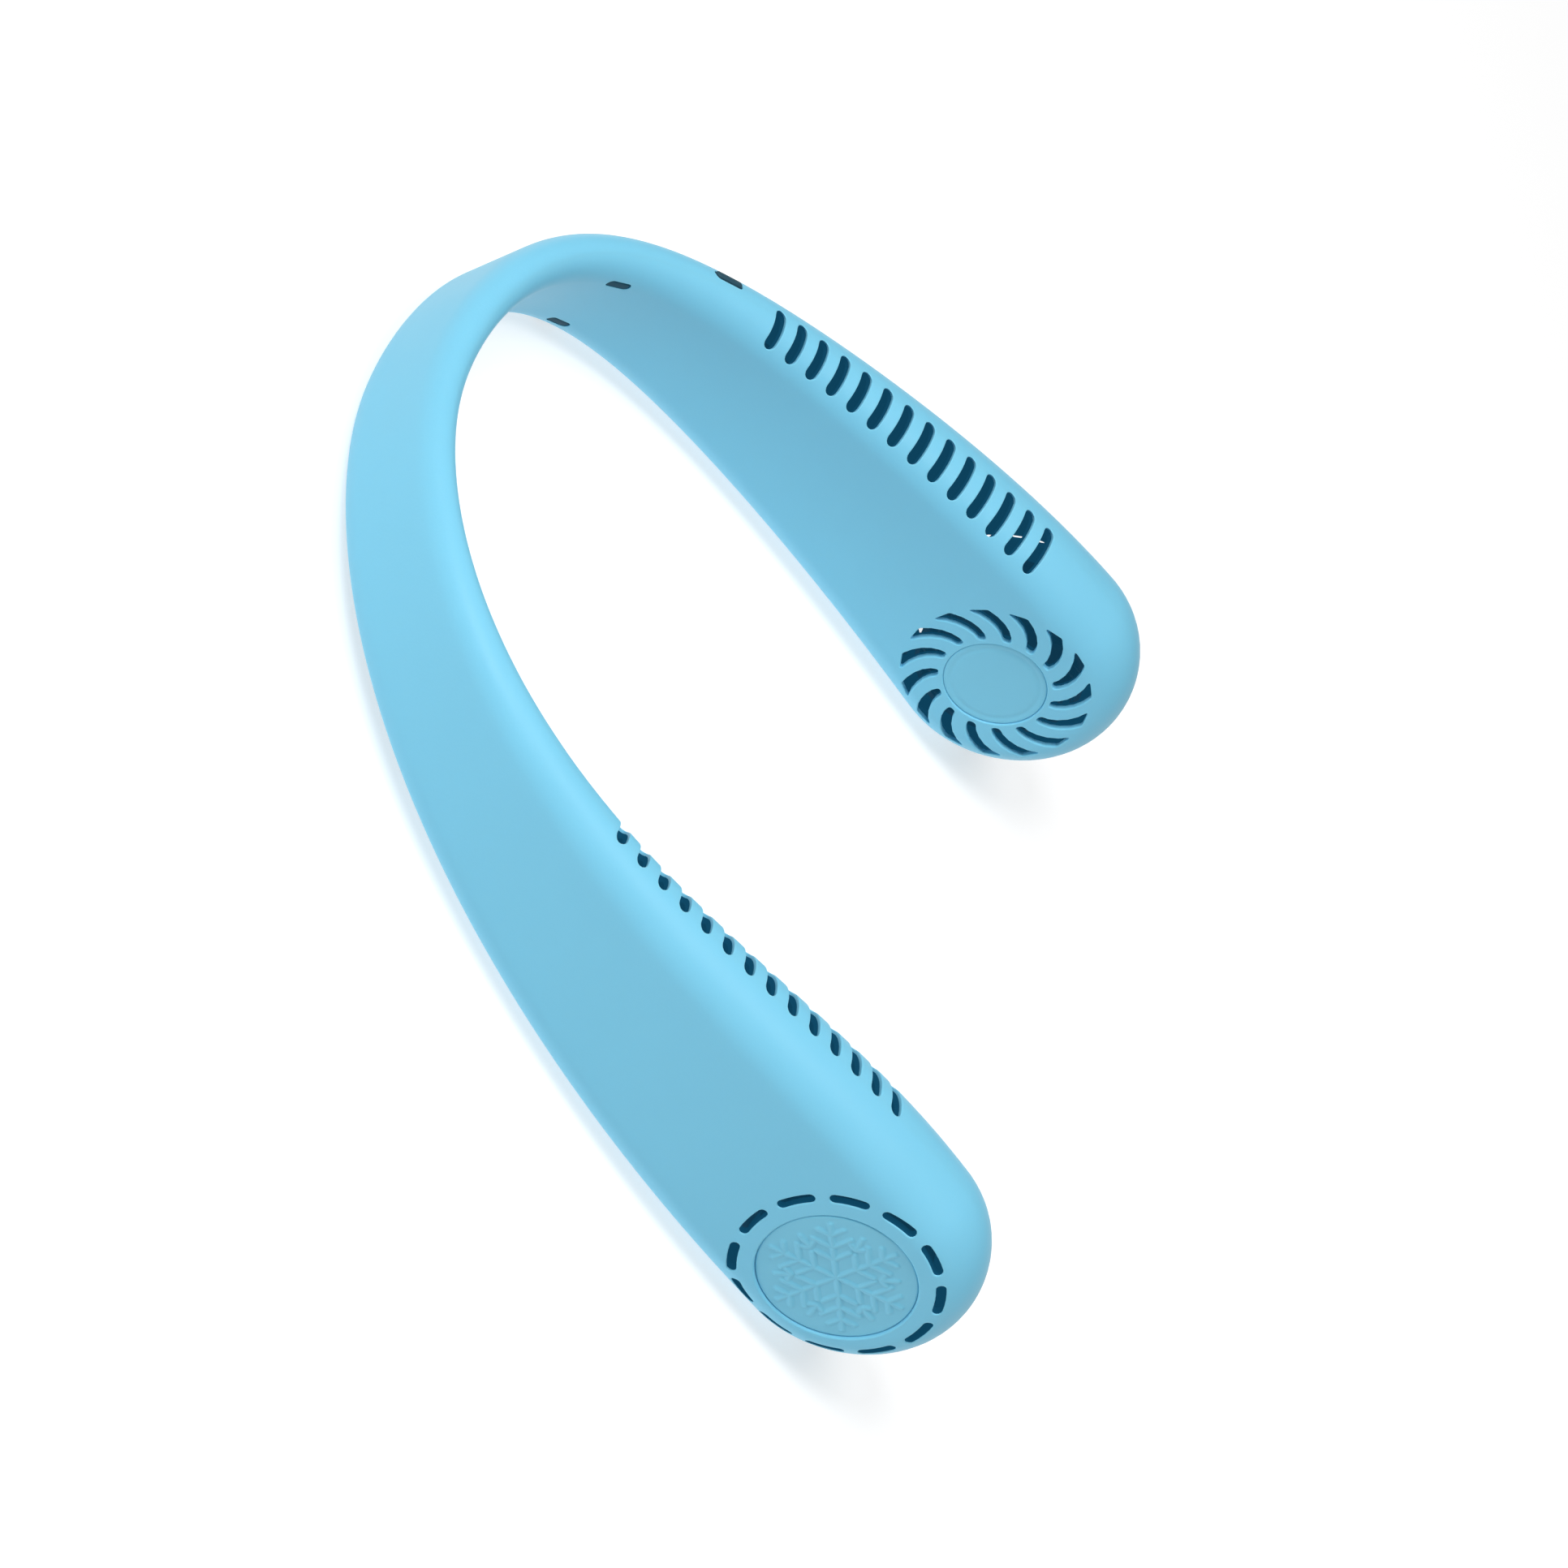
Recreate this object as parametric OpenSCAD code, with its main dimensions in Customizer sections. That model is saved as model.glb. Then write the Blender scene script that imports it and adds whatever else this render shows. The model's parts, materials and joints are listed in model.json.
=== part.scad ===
// Neck fan: a hollow U-shaped band worn round the neck, with a fan in each arm's paddle end.
// Millimetres. +Z is up, +Y points to the nape and the two paddles point to -Y.
// The origin is the middle of the footprint, on the surface that the band stands on.

/* [Band path] */
// Half the distance between the centre lines of the two paddles
arm_spread = 93.4; // [86:0.2:100]
// Front to back distance from the nape's centre line to the paddle centres
reach = 170.8; // [160:0.4:184]
// Length of the straight lead that broadens the curve at the nape
nape_lead = 59.8; // [56:0.2:63]
// Length of the straight lead behind each paddle
arm_lead = 52.1; // [48:0.1:57]
// How far the curve's elbow lies outside the paddle's centre line
elbow_out = 1.3; // [0:0.1:3]
// How far the curve's elbow lies in front of the nape
elbow_drop = 32; // [30:0.5:35]

/* [Band section] */
// Height of the band at the nape
nape_h = 25.8; // [25:0.1:28]
// Height of the paddles, which is also the diameter of their round ends
paddle_h = 55.4; // [54.6:0.2:60]
// Thickness of the band at the nape
nape_t = 9; // [8.6:0.1:11]
// Thickness of the paddles
paddle_t = 26.8; // [26.4:0.1:30]
// Depth of the rounding of the edges at the nape
nape_round = 5.9; // [5.4:0.1:7]
// Depth of the rounding of the edges at the paddles
paddle_round = 9.8; // [9:0.1:11]
// How far the lower edge arches off the surface between the nape and the arms
arch_rise = 3; // [2:0.1:3.6]
// How far the upper rim of the arms leans in over the neck space, and the lower rim out
arm_lean = 1.9; // [0:0.1:2.5]
// Thickness of the casing
wall = 2; // [1.7:0.1:2.3]

/* [Air outlets] */
// Number of outlet slots along the top of each arm
outlet_count = 14; // [8:1:15]
// Distance from one outlet slot to the next
outlet_pitch = 6.25; // [5:0.05:6.5]
// Width of an outlet slot
outlet_w = 2.2; // [1.6:0.1:3]
// Distance from the paddle centre back to the last outlet slot
outlet_gap = 24.5; // [22:0.5:29]

/* [Paddle vents] */
// How far the vents' centre lies below the middle of the paddle
vent_drop = 1.6; // [1:0.1:2.5]
// How far the vents' centre lies behind the centre of the paddle's round end
vent_back = 1.1; // [0:0.1:1.6]
// Radius of the ring of dash slots in the outer face
dash_r = 21.7; // [20.5:0.1:22]
// Width of a dash slot
dash_w = 1.7; // [1.2:0.1:2]
// Number of dash slots in a ring
dash_count = 12; // [8:1:14]
// Number of swept slots in the inner face
swept_count = 15; // [11:1:17]
// Outer radius of the swept slots
swept_r = 21.3; // [20:0.1:22]
// Radius of the snowflake disc
flake_r = 16.9; // [16:0.1:17.5]
// Thickness of the snowflake disc
flake_t = 1.4; // [1.2:0.1:1.6]
// Radius of the plain disc in the inner vent
hub_disc_r = 11.4; // [10.5:0.1:11.8]
// Thickness of the plain disc in the inner vent
hub_disc_t = 1.2; // [1:0.1:1.4]

/* [Fan wheel] */
// Radius of the fan wheel
wheel_r = 18.8; // [17.5:0.1:19.2]
// Number of blades of the fan wheel
blade_count = 24; // [14:1:28]
// Radial depth of the blades
blade_depth = 4.6; // [3.6:0.1:4.8]
// Thickness of a blade
blade_t = 0.8; // [0.6:0.05:0.9]
// Air gap between the fan wheel and the seat of the inner vent
wheel_gap = 3.1; // [2.7:0.1:5.3]

/* [Motor] */
// Radius of the motor shaft
shaft_r = 0.75; // [0.6:0.05:0.9]
// Radial play between the shaft and its bearing
shaft_play = 0.03; // [0.02:0.005:0.05]
// Radius of the bearing sleeve
bearing_r = 2; // [1.8:0.05:2.2]
// Radius of the stator core
stator_r = 7.6; // [7:0.1:7.8]
// Air gap between the stator and the magnet ring
magnet_gap = 0.4; // [0.3:0.05:0.5]
// Radial thickness of the magnet ring
magnet_t = 1.4; // [1.1:0.1:1.6]
// Thickness of the rotor cup's sheet
cup_t = 0.5; // [0.4:0.05:0.6]

/* [Battery and board] */
// Length of each battery cell
cell_l = 50; // [42:1:52]
// Height of each battery cell
cell_h = 20; // [16:0.5:20.5]
// Thickness of each battery cell
cell_t = 7.6; // [6:0.1:7.8]
// Length of the control board
board_l = 36; // [34:1:40]
// Height of the control board
board_h = 21; // [19:0.5:22]
// Thickness of the control board
board_t = 1; // [0.8:0.1:1.2]

/* [Controls] */
// Distance from the air guide's end wall back to the power button, along the centre line
button_back = 8.2; // [7:0.1:10]
// Length of the power button
button_l = 8; // [7:0.1:9]
// Width of the power button
button_w = 2.4; // [2:0.1:2.6]
// Travel of the power button
button_travel = 0.5; // [0.3:0.05:0.6]
// How far the power button stands out of the casing
button_proud = 0.6; // [0.5:0.05:0.8]
// Distance from the air guide's end wall back to the upper light, along the centre line
light_back = 37.1; // [34:0.1:40]
// Distance from the air guide's end wall back to the lower light, along the centre line
charge_back = 31.5; // [29:0.1:36]
// Length of each light's window
light_l = 7; // [6:0.1:8]
// Width of each light's window
light_w = 1.7; // [1.3:0.1:2]

/* [Hidden] */

// Colours
shell_blue = "#7ecbea";
disc_blue = "#74bcd8";
dark_plastic = "#16303f";
wheel_grey = "#27343c";
steel = "#b4b9bd";
magnet_black = "#2b2b2e";
brass_tone = "#b99a5a";
copper = "#b8693d";
core_grey = "#6c7076";
duct_grey = "#4a5660";
cell_silver = "#a9b6c4";
board_green = "#1d5a3a";
smoked = "#0f2632";
cable_black = "#202428";

// Small clearances and overruns shared by the pieces
over = 1;
fit_gap = 0.15;
slide_gap = 0.25;
run_gap = 0.6;
fine = 48;
small_fine = 16;
slot_fine = 10;
seat_fine = 32;

// Shapes of the easing curves along an arm
height_power_share = 1.19;
thick_power_share = 1.38;

// Finish of the polyhedra
arm_steps = 20;
corner_steps = 5;
cavity_arm_steps = 14;
cavity_corner_steps = 3;
end_angles = [13, 27, 41, 55, 68, 80];
cavity_end_angles = [20, 40, 60, 78];
// A short way along the skin, to find its slope
near_s = 0.5;
near_angle = 1;

// Footprint, and the control points of the centre line of the left arm
depth = nape_t / 2 + reach + paddle_h / 2;
nape_y = depth / 2 - nape_t / 2;
path_points = [
    [0, nape_y],
    [nape_lead, nape_y],
    [arm_spread + elbow_out, nape_y - elbow_drop],
    [arm_spread, nape_y - reach + arm_lead],
    [arm_spread, nape_y - reach]
];

// Centre line as a Bezier curve of the fourth degree, and its direction
function binomial(n, k) = k == 0 ? 1 : binomial(n, k - 1) * (n - k + 1) / k;
function bezier(points, t) =
    let (n = len(points) - 1)
    [for (c = [0, 1])
        let (terms = [for (k = [0:n]) binomial(n, k) * pow(1 - t, n - k) * pow(t, k) * points[k][c]])
        terms * [for (k = [0:n]) 1]];
path_steps = 96;
path_sides = [for (k = [0:len(path_points) - 2]) path_points[k + 1] - path_points[k]];
curve = [for (i = [0:path_steps]) bezier(path_points, i / path_steps)];
run_lengths = [
    for (i = 0, s = 0; i <= path_steps;
        i = i + 1, s = s + (i <= path_steps ? norm(curve[i] - curve[i - 1]) : 0)) s];
run_table = [for (i = [0:path_steps]) [run_lengths[i], i / path_steps]];
arm_len = run_lengths[path_steps];

// Place, direction and outward normal on the centre line, s along it from the nape's middle
function along_share(s) = lookup(min(s, arm_len), run_table);
function centre(s) = bezier(path_points, along_share(s)) + [0, -max(s - arm_len, 0)];
function direction(s) = let (d = bezier(path_sides, along_share(s))) d / norm(d);
function turn(s) = let (d = direction(s)) atan2(d[1], d[0]);

// Easing from 0 at the nape to 1 at the paddle, level at both ends
function ease(s, power) =
    let (v = pow(min(s / arm_len, 1), power))
    v * v * (3 - 2 * v);
function swell(s, from, to, power) = from + (to - from) * ease(s, power);

// Half height, half thickness and rounding of the band's section
function half_h(s) = swell(s, nape_h, paddle_h, height_power_share) / 2;
function half_t(s) = swell(s, nape_t, paddle_t, thick_power_share) / 2;
function rounding(s) = swell(s, nape_round, paddle_round, height_power_share);
// The lower edge's arch peaks at this share of the way along the arm
arch_peak_share = 0.28;
arch_power = 2;
function peak_share(u, top, power) =
    pow(u / top, power) * pow((1 - u) / (1 - top), power * (1 / top - 1));
function base_z(s) = arch_rise * peak_share(min(s / arm_len, 1), arch_peak_share, arch_power);
function mid_z(s) = base_z(s) + half_h(s);

// The lean is greatest at this share of the way along, and the nape and paddles stand upright
lean_peak_share = 0.77;
lean_power = 3.7;
function lean(s, up) =
    -arm_lean * peak_share(min(s / arm_len, 1), lean_peak_share, lean_power) * up / half_h(s);

// Point of the rounded edge as [across, up], at an angle from the rim, drawn in by inset
function edge_point(s, angle, inset) =
    [(half_t(s) - inset) * sin(angle),
        half_h(s) - inset - (rounding(s) - inset) * (1 - cos(angle))];

// Height of the skin above mid height, at a place across the upper edge
function skin_up(s, across, inset) =
    half_h(s) - inset
    - (rounding(s) - inset) * (1 - sqrt(1 - pow(across / (half_t(s) - inset), 2)));

// Point of the left arm's skin, at an angle from the top rim down the inner face (or, below
// zero, down the outer face) to 180 at the bottom rim
function skin(s, angle) =
    let (
        low = abs(angle) > 90,
        e = edge_point(s, low ? 180 - abs(angle) : abs(angle), 0),
        up = low ? -e[1] : e[1],
        y = (angle > 0 ? -e[0] : e[0]) + lean(s, up),
        c = centre(s),
        d = direction(s))
    [c[0] - y * d[1], c[1] + y * d[0], mid_z(s) + up];
function unit(v) = v / norm(v);
function skin_along(s, angle) = unit(skin(s + near_s, angle) - skin(s - near_s, angle));
function skin_out(s, angle) =
    unit(cross(skin(s, angle + near_angle) - skin(s, angle - near_angle), skin_along(s, angle)));

// A quarter of the section from the rim to the flat, and past the paddle centre the same
// rounding carried round the end
function quarter(s, inset, n) =
    s <= arm_len
    ? [for (k = [0:n]) edge_point(s, 90 * k / n, inset)]
    : let (
        r = paddle_h / 2 - inset,
        depth_in = paddle_round - inset,
        e = s - arm_len,
        h = sqrt(r * r - e * e))
        [for (k = [0:n])
            let (
                w = h * (1 - depth_in / r * (1 - cos(90 * k / n))),
                share = min((r - norm([e, w])) / depth_in, 1))
            [(paddle_t / 2 - inset) * sqrt(max(1 - pow(1 - share, 2), 0)), w]];
function flat_middle(s, inset) =
    let (
        e = max(s - arm_len, 0),
        share = min((half_h(s) - inset - e) / (rounding(s) - inset), 1))
    [(half_t(s) - inset) * sqrt(1 - pow(1 - share, 2)), 0];

// Whole section as a closed ring of [across, up], clockwise from the top rim
function section(s, inset, n) =
    let (q = quarter(s, inset, n), m = flat_middle(s, inset))
    concat(
        q,
        [m],
        [for (k = [n:-1:0]) [q[k][0], -q[k][1]]],
        [for (k = [1:n]) [-q[k][0], -q[k][1]]],
        [-m],
        [for (k = [n:-1:1]) [-q[k][0], q[k][1]]]);

// A section's ring stood up on the centre line, on the left arm or mirrored to the right
function ring(s, side, inset, n) =
    let (c = centre(s), d = direction(s))
    [for (p = section(s, inset, n))
        let (y = p[0] + lean(s, p[1]))
        [side * (c[0] - y * d[1]), c[1] + y * d[0], mid_z(s) + p[1]]];
function tip(side, inset) =
    [side * arm_spread, nape_y - reach - paddle_h / 2 + inset, mid_z(arm_len)];

// The band as one closed polyhedron, drawn in by inset
module band(inset, steps = arm_steps, n = corner_steps, ends = end_angles) {
    r = paddle_h / 2 - inset;
    half = concat(
        [for (i = [1:steps]) arm_len * i / steps],
        [for (q = ends) arm_len + r * sin(q)]);
    count = len(half);
    rings = concat(
        [for (i = [count - 1:-1:0]) ring(half[i], -1, inset, n)],
        [ring(0, 1, inset, n)],
        [for (s = half) ring(s, 1, inset, n)]);
    m = len(rings[0]);
    last = len(rings) - 1;
    points = concat([for (q = rings) each q], [tip(-1, inset), tip(1, inset)]);
    start = len(points) - 2;
    faces = concat(
        [for (i = [0:last - 1], j = [0:m - 1])
            let (k = (j + 1) % m)
            each [
                [i * m + j, i * m + k, (i + 1) * m + k],
                [i * m + j, (i + 1) * m + k, (i + 1) * m + j]]],
        [for (j = [0:m - 1]) [start, (j + 1) % m, j]],
        [for (j = [0:m - 1]) [start + 1, last * m + j, last * m + (j + 1) % m]]);
    polyhedron(points = points, faces = faces, convexity = 8);
}

module cavity(inset = wall) {
    band(inset, cavity_arm_steps, cavity_corner_steps, cavity_end_angles);
}

// All the space on the outer side of the seam between the casing halves, which runs a little
// inside the centre line
seam_in = 1;
function seam(s) = let (c = centre(s), d = direction(s)) [c[0] + seam_in * d[1], c[1] - seam_in * d[0]];
module outer_side() {
    half = [for (i = [1:arm_steps]) arm_len * (i - 1 / 2) / arm_steps];
    left = concat([for (s = half) seam(s)], [seam(arm_len + paddle_h)]);
    right = [for (i = [len(left) - 1:-1:0]) [-left[i][0], left[i][1]]];
    out_x = arm_spread + elbow_out + paddle_t;
    out_y = nape_y + nape_t;
    far_y = left[len(left) - 1][1];
    translate([0, 0, -over])
        linear_extrude(height = paddle_h + arch_rise + 2 * over, convexity = 8)
            polygon(concat(right, [seam(0)], left,
                [[out_x, far_y], [out_x, out_y], [-out_x, out_y], [-out_x, far_y]]));
}

// The left arm is drawn, and the right arm is its mirror image
module on_side(side) {
    mirror([side < 0 ? 1 : 0, 0, 0]) children();
}
module both_sides() {
    for (side = [-1, 1]) on_side(side) children();
}

// Frame on the left arm: x along the arm, y out of the neck space, z up from mid height
module at(s) {
    c = centre(s);
    translate([c[0], c[1], mid_z(s)]) rotate([0, 0, turn(s)]) children();
}

// Frame on the left arm's skin: x along the arm, z square out of the skin
module on_skin(s, angle) {
    x = skin_along(s, angle);
    z = skin_out(s, angle);
    yaw = atan2(x[1], x[0]);
    level = [-sin(yaw), cos(yaw), 0];
    translate(skin(s, angle))
        rotate([0, -asin(x[2]), yaw])
            rotate([atan2(-z * level, z * cross(x, level)), 0, 0]) children();
}

// Frame of the left paddle's fan: z along the shaft, pointing outwards
module at_fan() {
    translate([arm_spread, nape_y - reach + vent_back, paddle_h / 2 - vent_drop])
        rotate([0, 90, 0]) children();
}

// Rounded slot shape, long along x, standing along z through the origin
module pill(length, width, height) {
    hull()
        for (x = [-1, 1])
            translate([x * (length - width) / 2, 0, 0])
                cylinder(d = width, h = height, center = true, $fn = slot_fine);
}
// The same shape from exact cylinders and a block, for pieces that slide
module plug(length, width, height) {
    for (x = [-1, 1])
        translate([x * (length - width) / 2, 0, 0])
            cylinder(d = width, h = height, $fn = fine);
    translate([(width - length) / 2, -width / 2, 0]) cube([length - width, width, height]);
}

// Stack of the fan along its shaft, measured outwards from the paddle's middle plane
face_z = paddle_t / 2;
flake_recess = 0.6;
seat_t = 1.5;
seat_r = flake_r + seat_t;
seat_z = face_z - flake_recess - flake_t - seat_t;
base_t = 1.2;
base_r = 15;
base_low = seat_z - base_t;
rotor_high = base_low - run_gap;
cup_plate_t = 0.6;
stator_t = 3.4;
coil_over = 0.8;
stator_high = rotor_high - coil_over;
stator_low = stator_high - stator_t;
tube_t = 0.8;
tube_r = bearing_r + tube_t;
tube_low = stator_low - coil_over - run_gap;
cup_low = tube_low - run_gap - cup_plate_t;
magnet_in_r = stator_r + magnet_gap;
cup_in_r = magnet_in_r + magnet_t;
cup_r = cup_in_r + cup_t;
hub_t = 1;
hub_r = cup_r + hub_t;
hub_low = cup_low - hub_t;
wheel_high = rotor_high - run_gap;
screw_r = 0.8;
screw_head_r = 1.4;
screw_head_h = 0.7;
motor_screw_ring = (hub_r + base_r) / 2;
motor_screw_count = 3;
motor_screw_l = base_t + seat_t / 2;

// Dash ring and swept vent of the paddle faces
dash_turn = 8;
dash_fill_share = 0.62;
hub_rim = 1;
slot_gap = 0.2;
hub_seat_r = hub_disc_r + fit_gap + hub_rim;
swept_in_r = hub_seat_r + slot_gap;
swept_angle = 26;
swept_turn = 4;
swept_in_w = 1.2;
swept_out_w = 3.1;
hub_recess = 0.4;
hub_seat_t = 1;
wheel_low = hub_recess + hub_disc_t + hub_seat_t - face_z + wheel_gap;
vent_cut = 3 * wall;

module dash_ring() {
    step = 360 / dash_count;
    half_dash = step * dash_fill_share / 2 - asin(dash_w / 2 / dash_r);
    for (i = [0:dash_count - 1], k = [-1, 0])
        rotate([0, 0, dash_turn + i * step])
            hull()
                for (q = [k, k + 1])
                    rotate([0, 0, q * half_dash])
                        translate([dash_r, 0, face_z - 2 * vent_cut + vent_cut / 2])
                            cylinder(d = dash_w, h = 2 * vent_cut, $fn = slot_fine);
}

// One swept slot: its middle line turns on as it runs out, and it widens
swept_steps = 4;
function swept_point(i, edge) =
    let (
        u = i / swept_steps,
        r = swept_in_r + (swept_r - swept_in_r) * u,
        w = swept_in_w + (swept_out_w - swept_in_w) * u,
        a = -swept_angle * pow(u, 1.5) + edge * (w / 2 / r) * 180 / PI)
    [r * cos(a), r * sin(a)];
module swept_ring() {
    outline = concat(
        [for (i = [0:swept_steps]) swept_point(i, -1)],
        [for (i = [swept_steps:-1:0]) swept_point(i, 1)]);
    for (i = [0:swept_count - 1])
        rotate([0, 0, swept_turn + i * 360 / swept_count])
            translate([0, 0, -face_z - over])
                linear_extrude(height = vent_cut + over) polygon(outline);
}

// Outlet slots over the inner half of the top edge
outlet_high = 7;
outlet_low = 54;
module outlet(s) {
    on_skin(s, (outlet_high + outlet_low) / 2)
        rotate([0, 0, 90])
            pill(norm(skin(s, outlet_high) - skin(s, outlet_low)), outlet_w, 4 * wall);
}
module outlets() {
    for (i = [0:outlet_count - 1]) outlet(arm_len - outlet_gap - i * outlet_pitch);
}

// Air guide: a floor under the duct, an end wall before the first outlet and a curved wall
guide_t = 1.2;
guide_start = arm_len - outlet_gap - outlet_count * outlet_pitch;
button_s = guide_start - button_back;
light_s = guide_start - light_back;
charge_s = guide_start - charge_back;
cell_low = 2.6;
cell_in = 0.7;
floor_z = base_z(guide_start) + wall + cell_low + cell_h + fit_gap;
cell_s = guide_start + guide_t + fit_gap + cell_l / 2;
cell_z = base_z(cell_s) + wall + cell_low;
tongue_gap = 1.6;
tongue_r = wheel_r + tongue_gap;
tongue_high = floor_z + guide_t - paddle_h / 2 + vent_drop;
tongue_s = arm_len - vent_back - sqrt(pow(tongue_r + guide_t / 2, 2) - pow(tongue_high, 2));
tongue_angle = 52;
guide_steps = 9;

guide_gap = 0.4;
function guide_half(s) = half_t(s) - wall - guide_gap;

module air_guide() {
    color(duct_grey) {
        translate([0, 0, floor_z]) linear_extrude(height = guide_t) duct_plan();
        at(guide_start) rotate([90, 0, 90]) linear_extrude(height = guide_t) duct_end();
        at_fan() tongue();
    }
}
module duct_plan() {
    stops = [for (k = [0:guide_steps]) guide_start + (tongue_s - guide_start) * k / guide_steps];
    sides = [for (side = [-1, 1])
        [for (s = stops)
            let (c = centre(s), d = direction(s), y = side * guide_half(s) + lean(s, floor_z - mid_z(s)))
            [c[0] - y * d[1], c[1] + y * d[0]]]];
    polygon(concat(sides[0], [for (k = [guide_steps:-1:0]) sides[1][k]]));
}
// The part of the band's section above the duct's floor
module duct_end() {
    low = floor_z - mid_z(guide_start);
    q = quarter(guide_start, wall + guide_gap, corner_steps);
    outline = concat(
        [for (k = [corner_steps:-1:0]) q[k]],
        [for (k = [1:corner_steps]) [-q[k][0], q[k][1]]],
        [[-guide_half(guide_start), low], [guide_half(guide_start), low]]);
    polygon([for (p = outline) [p[0] + lean(guide_start, p[1]), p[1]]]);
}
// Part of a tube round the fan wheel, from the floor down towards the lower edge
module tongue() {
    start = 180 - acos((tongue_high - guide_t / 2) / (tongue_r + guide_t));
    half = guide_half(tongue_s) - abs(lean(tongue_s, half_h(tongue_s)));
    rotate([0, 0, start])
        translate([0, 0, -half])
            rotate_extrude(angle = -tongue_angle, $fn = fine)
                translate([tongue_r, 0]) square([guide_t, 2 * half]);
}

// Battery cells, flat pouch cells with rounded long edges
module battery() {
    color(cell_silver)
        at(cell_s)
            translate([-cell_l / 2, -cell_in, cell_z - mid_z(cell_s)]) {
                translate([0, -cell_t / 2, cell_t / 4])
                    cube([cell_l, cell_t, cell_h - cell_t / 2]);
                for (z = [cell_t / 4, cell_h - cell_t / 4])
                    translate([0, 0, z]) {
                        translate([0, -cell_t / 4, -cell_t / 4]) cube([cell_l, cell_t / 2, cell_t / 2]);
                        for (y = [-1, 1])
                            translate([0, y * cell_t / 4, 0])
                                rotate([0, 90, 0])
                                    cylinder(r = cell_t / 4, h = cell_l, $fn = fine);
                    }
            }
}
cell_rib_w = 1.2;
cell_rib_share = 0.3;
module cell_ribs(direction) {
    at(cell_s)
        for (x = [-1, 1])
            translate([x * cell_l * cell_rib_share - cell_rib_w / 2, -cell_in, cell_z - mid_z(cell_s) + cell_h / 4])
                translate([0, direction > 0 ? cell_t / 2 + fit_gap : -paddle_t - cell_t / 2 - fit_gap, 0])
                    cube([cell_rib_w, paddle_t, cell_h / 2]);
}

// Control board frame on the left arm: x along the board, y outwards, z up
board_gap = 6.8;
board_s = guide_start - board_gap - board_l / 2;
board_y = -0.6;
board_lift = 1.4;
board_low = wall + board_lift;
board_screw_in = 2.6;
board_screw_x = board_l / 2 - board_screw_in;
board_screw_share = 0.62;
board_screw_z = board_low + board_h * board_screw_share;
boss_r = 2;
ear_l = 6;
ear_x = (board_l - ear_l) / 2;
module at_board() {
    c = centre(board_s);
    translate([c[0], c[1], base_z(board_s)]) rotate([0, 0, turn(board_s)]) children();
}

// Socket, standing in the lower edge
usb_w = 8.94;
usb_t = 3.26;
usb_l = 7.35;
usb_skin = 0.3;
usb_tongue_w = 6.7;
usb_tongue_t = 0.7;
usb_sink = 0.7;
usb_y = board_y + board_t / 2 + usb_t / 2 + fit_gap;

module usb_place() {
    at_board() translate([0, usb_y, 0]) children();
}
module usb_hole() {
    usb_place() translate([0, 0, wall]) pill(usb_w + 2 * slide_gap, usb_t + 2 * slide_gap, 4 * wall);
}

// Power button, in the outer half of the top edge, square to the skin
button_out = 2.6;
button_angle = -asin(button_out / half_t(button_s));
button_drop = 0.4;
button_flange = 0.8;
button_flange_t = 0.8;
button_low = -wall - button_drop - button_flange_t;
plunger_r = 0.9;
plunger_l = 2.2;
plunger_sink = 1.2;
switch_l = 5.2;
switch_w = 3.2;
switch_h = 2.4;
switch_high = button_low - plunger_l + plunger_sink;
switch_low = switch_high - switch_h;

module at_button() {
    on_skin(button_s, button_angle) children();
}
module button_hole() {
    at_button() pill(button_l + 2 * slide_gap, button_w + 2 * slide_gap, 4 * wall);
}

// Lights' windows in the inner shell, square to the skin
light_angle = 84;
charge_angle = 100;
light_sink = 0.1;
module light_hole(s, angle) {
    on_skin(s, angle) pill(light_l + 2 * fit_gap, light_w + 2 * fit_gap, 4 * wall);
}

// The hollow band, with what grows out of its wall
module hollow_band() {
    difference() {
        band(0);
        cavity();
    }
    intersection() {
        band(wall / 2, cavity_arm_steps, cavity_corner_steps, cavity_end_angles);
        children();
    }
}

// Casing halves
module outer_shell() {
    color(shell_blue)
        difference() {
            intersection() {
                hollow_band() {
                    both_sides() {
                        at_fan() translate([0, 0, seat_z]) cylinder(r = seat_r, h = face_z, $fn = seat_fine);
                        cell_ribs(1);
                    }
                    board_bosses();
                }
                outer_side();
            }
            both_sides()
                at_fan() {
                    dash_ring();
                    translate([0, 0, seat_z + seat_t])
                        cylinder(r = flake_r + fit_gap, h = face_z, $fn = seat_fine);
                    motor_screw_holes(seat_z - over, seat_t / 2 + fit_gap + over);
                }
            usb_hole();
            button_hole();
            board_screw_holes();
        }
}

module inner_shell() {
    color(shell_blue)
        difference() {
            hollow_band()
                both_sides() {
                    at_fan()
                        translate([0, 0, -face_z])
                            cylinder(r = hub_seat_r, h = hub_recess + hub_disc_t + hub_seat_t, $fn = seat_fine);
                    cell_ribs(-1);
                }
            outer_side();
            both_sides() {
                outlets();
                at_fan() {
                    swept_ring();
                    translate([0, 0, -2 * face_z + hub_recess + hub_disc_t])
                        cylinder(r = hub_disc_r + fit_gap, h = face_z, $fn = seat_fine);
                }
            }
            light_hole(light_s, light_angle);
            light_hole(charge_s, charge_angle);
        }
}
module motor_screw_holes(low, height) {
    for (i = [0:motor_screw_count - 1])
        rotate([0, 0, i * 360 / motor_screw_count])
            translate([motor_screw_ring, 0, low])
                cylinder(r = screw_r + fit_gap, h = height, $fn = small_fine);
}

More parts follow.
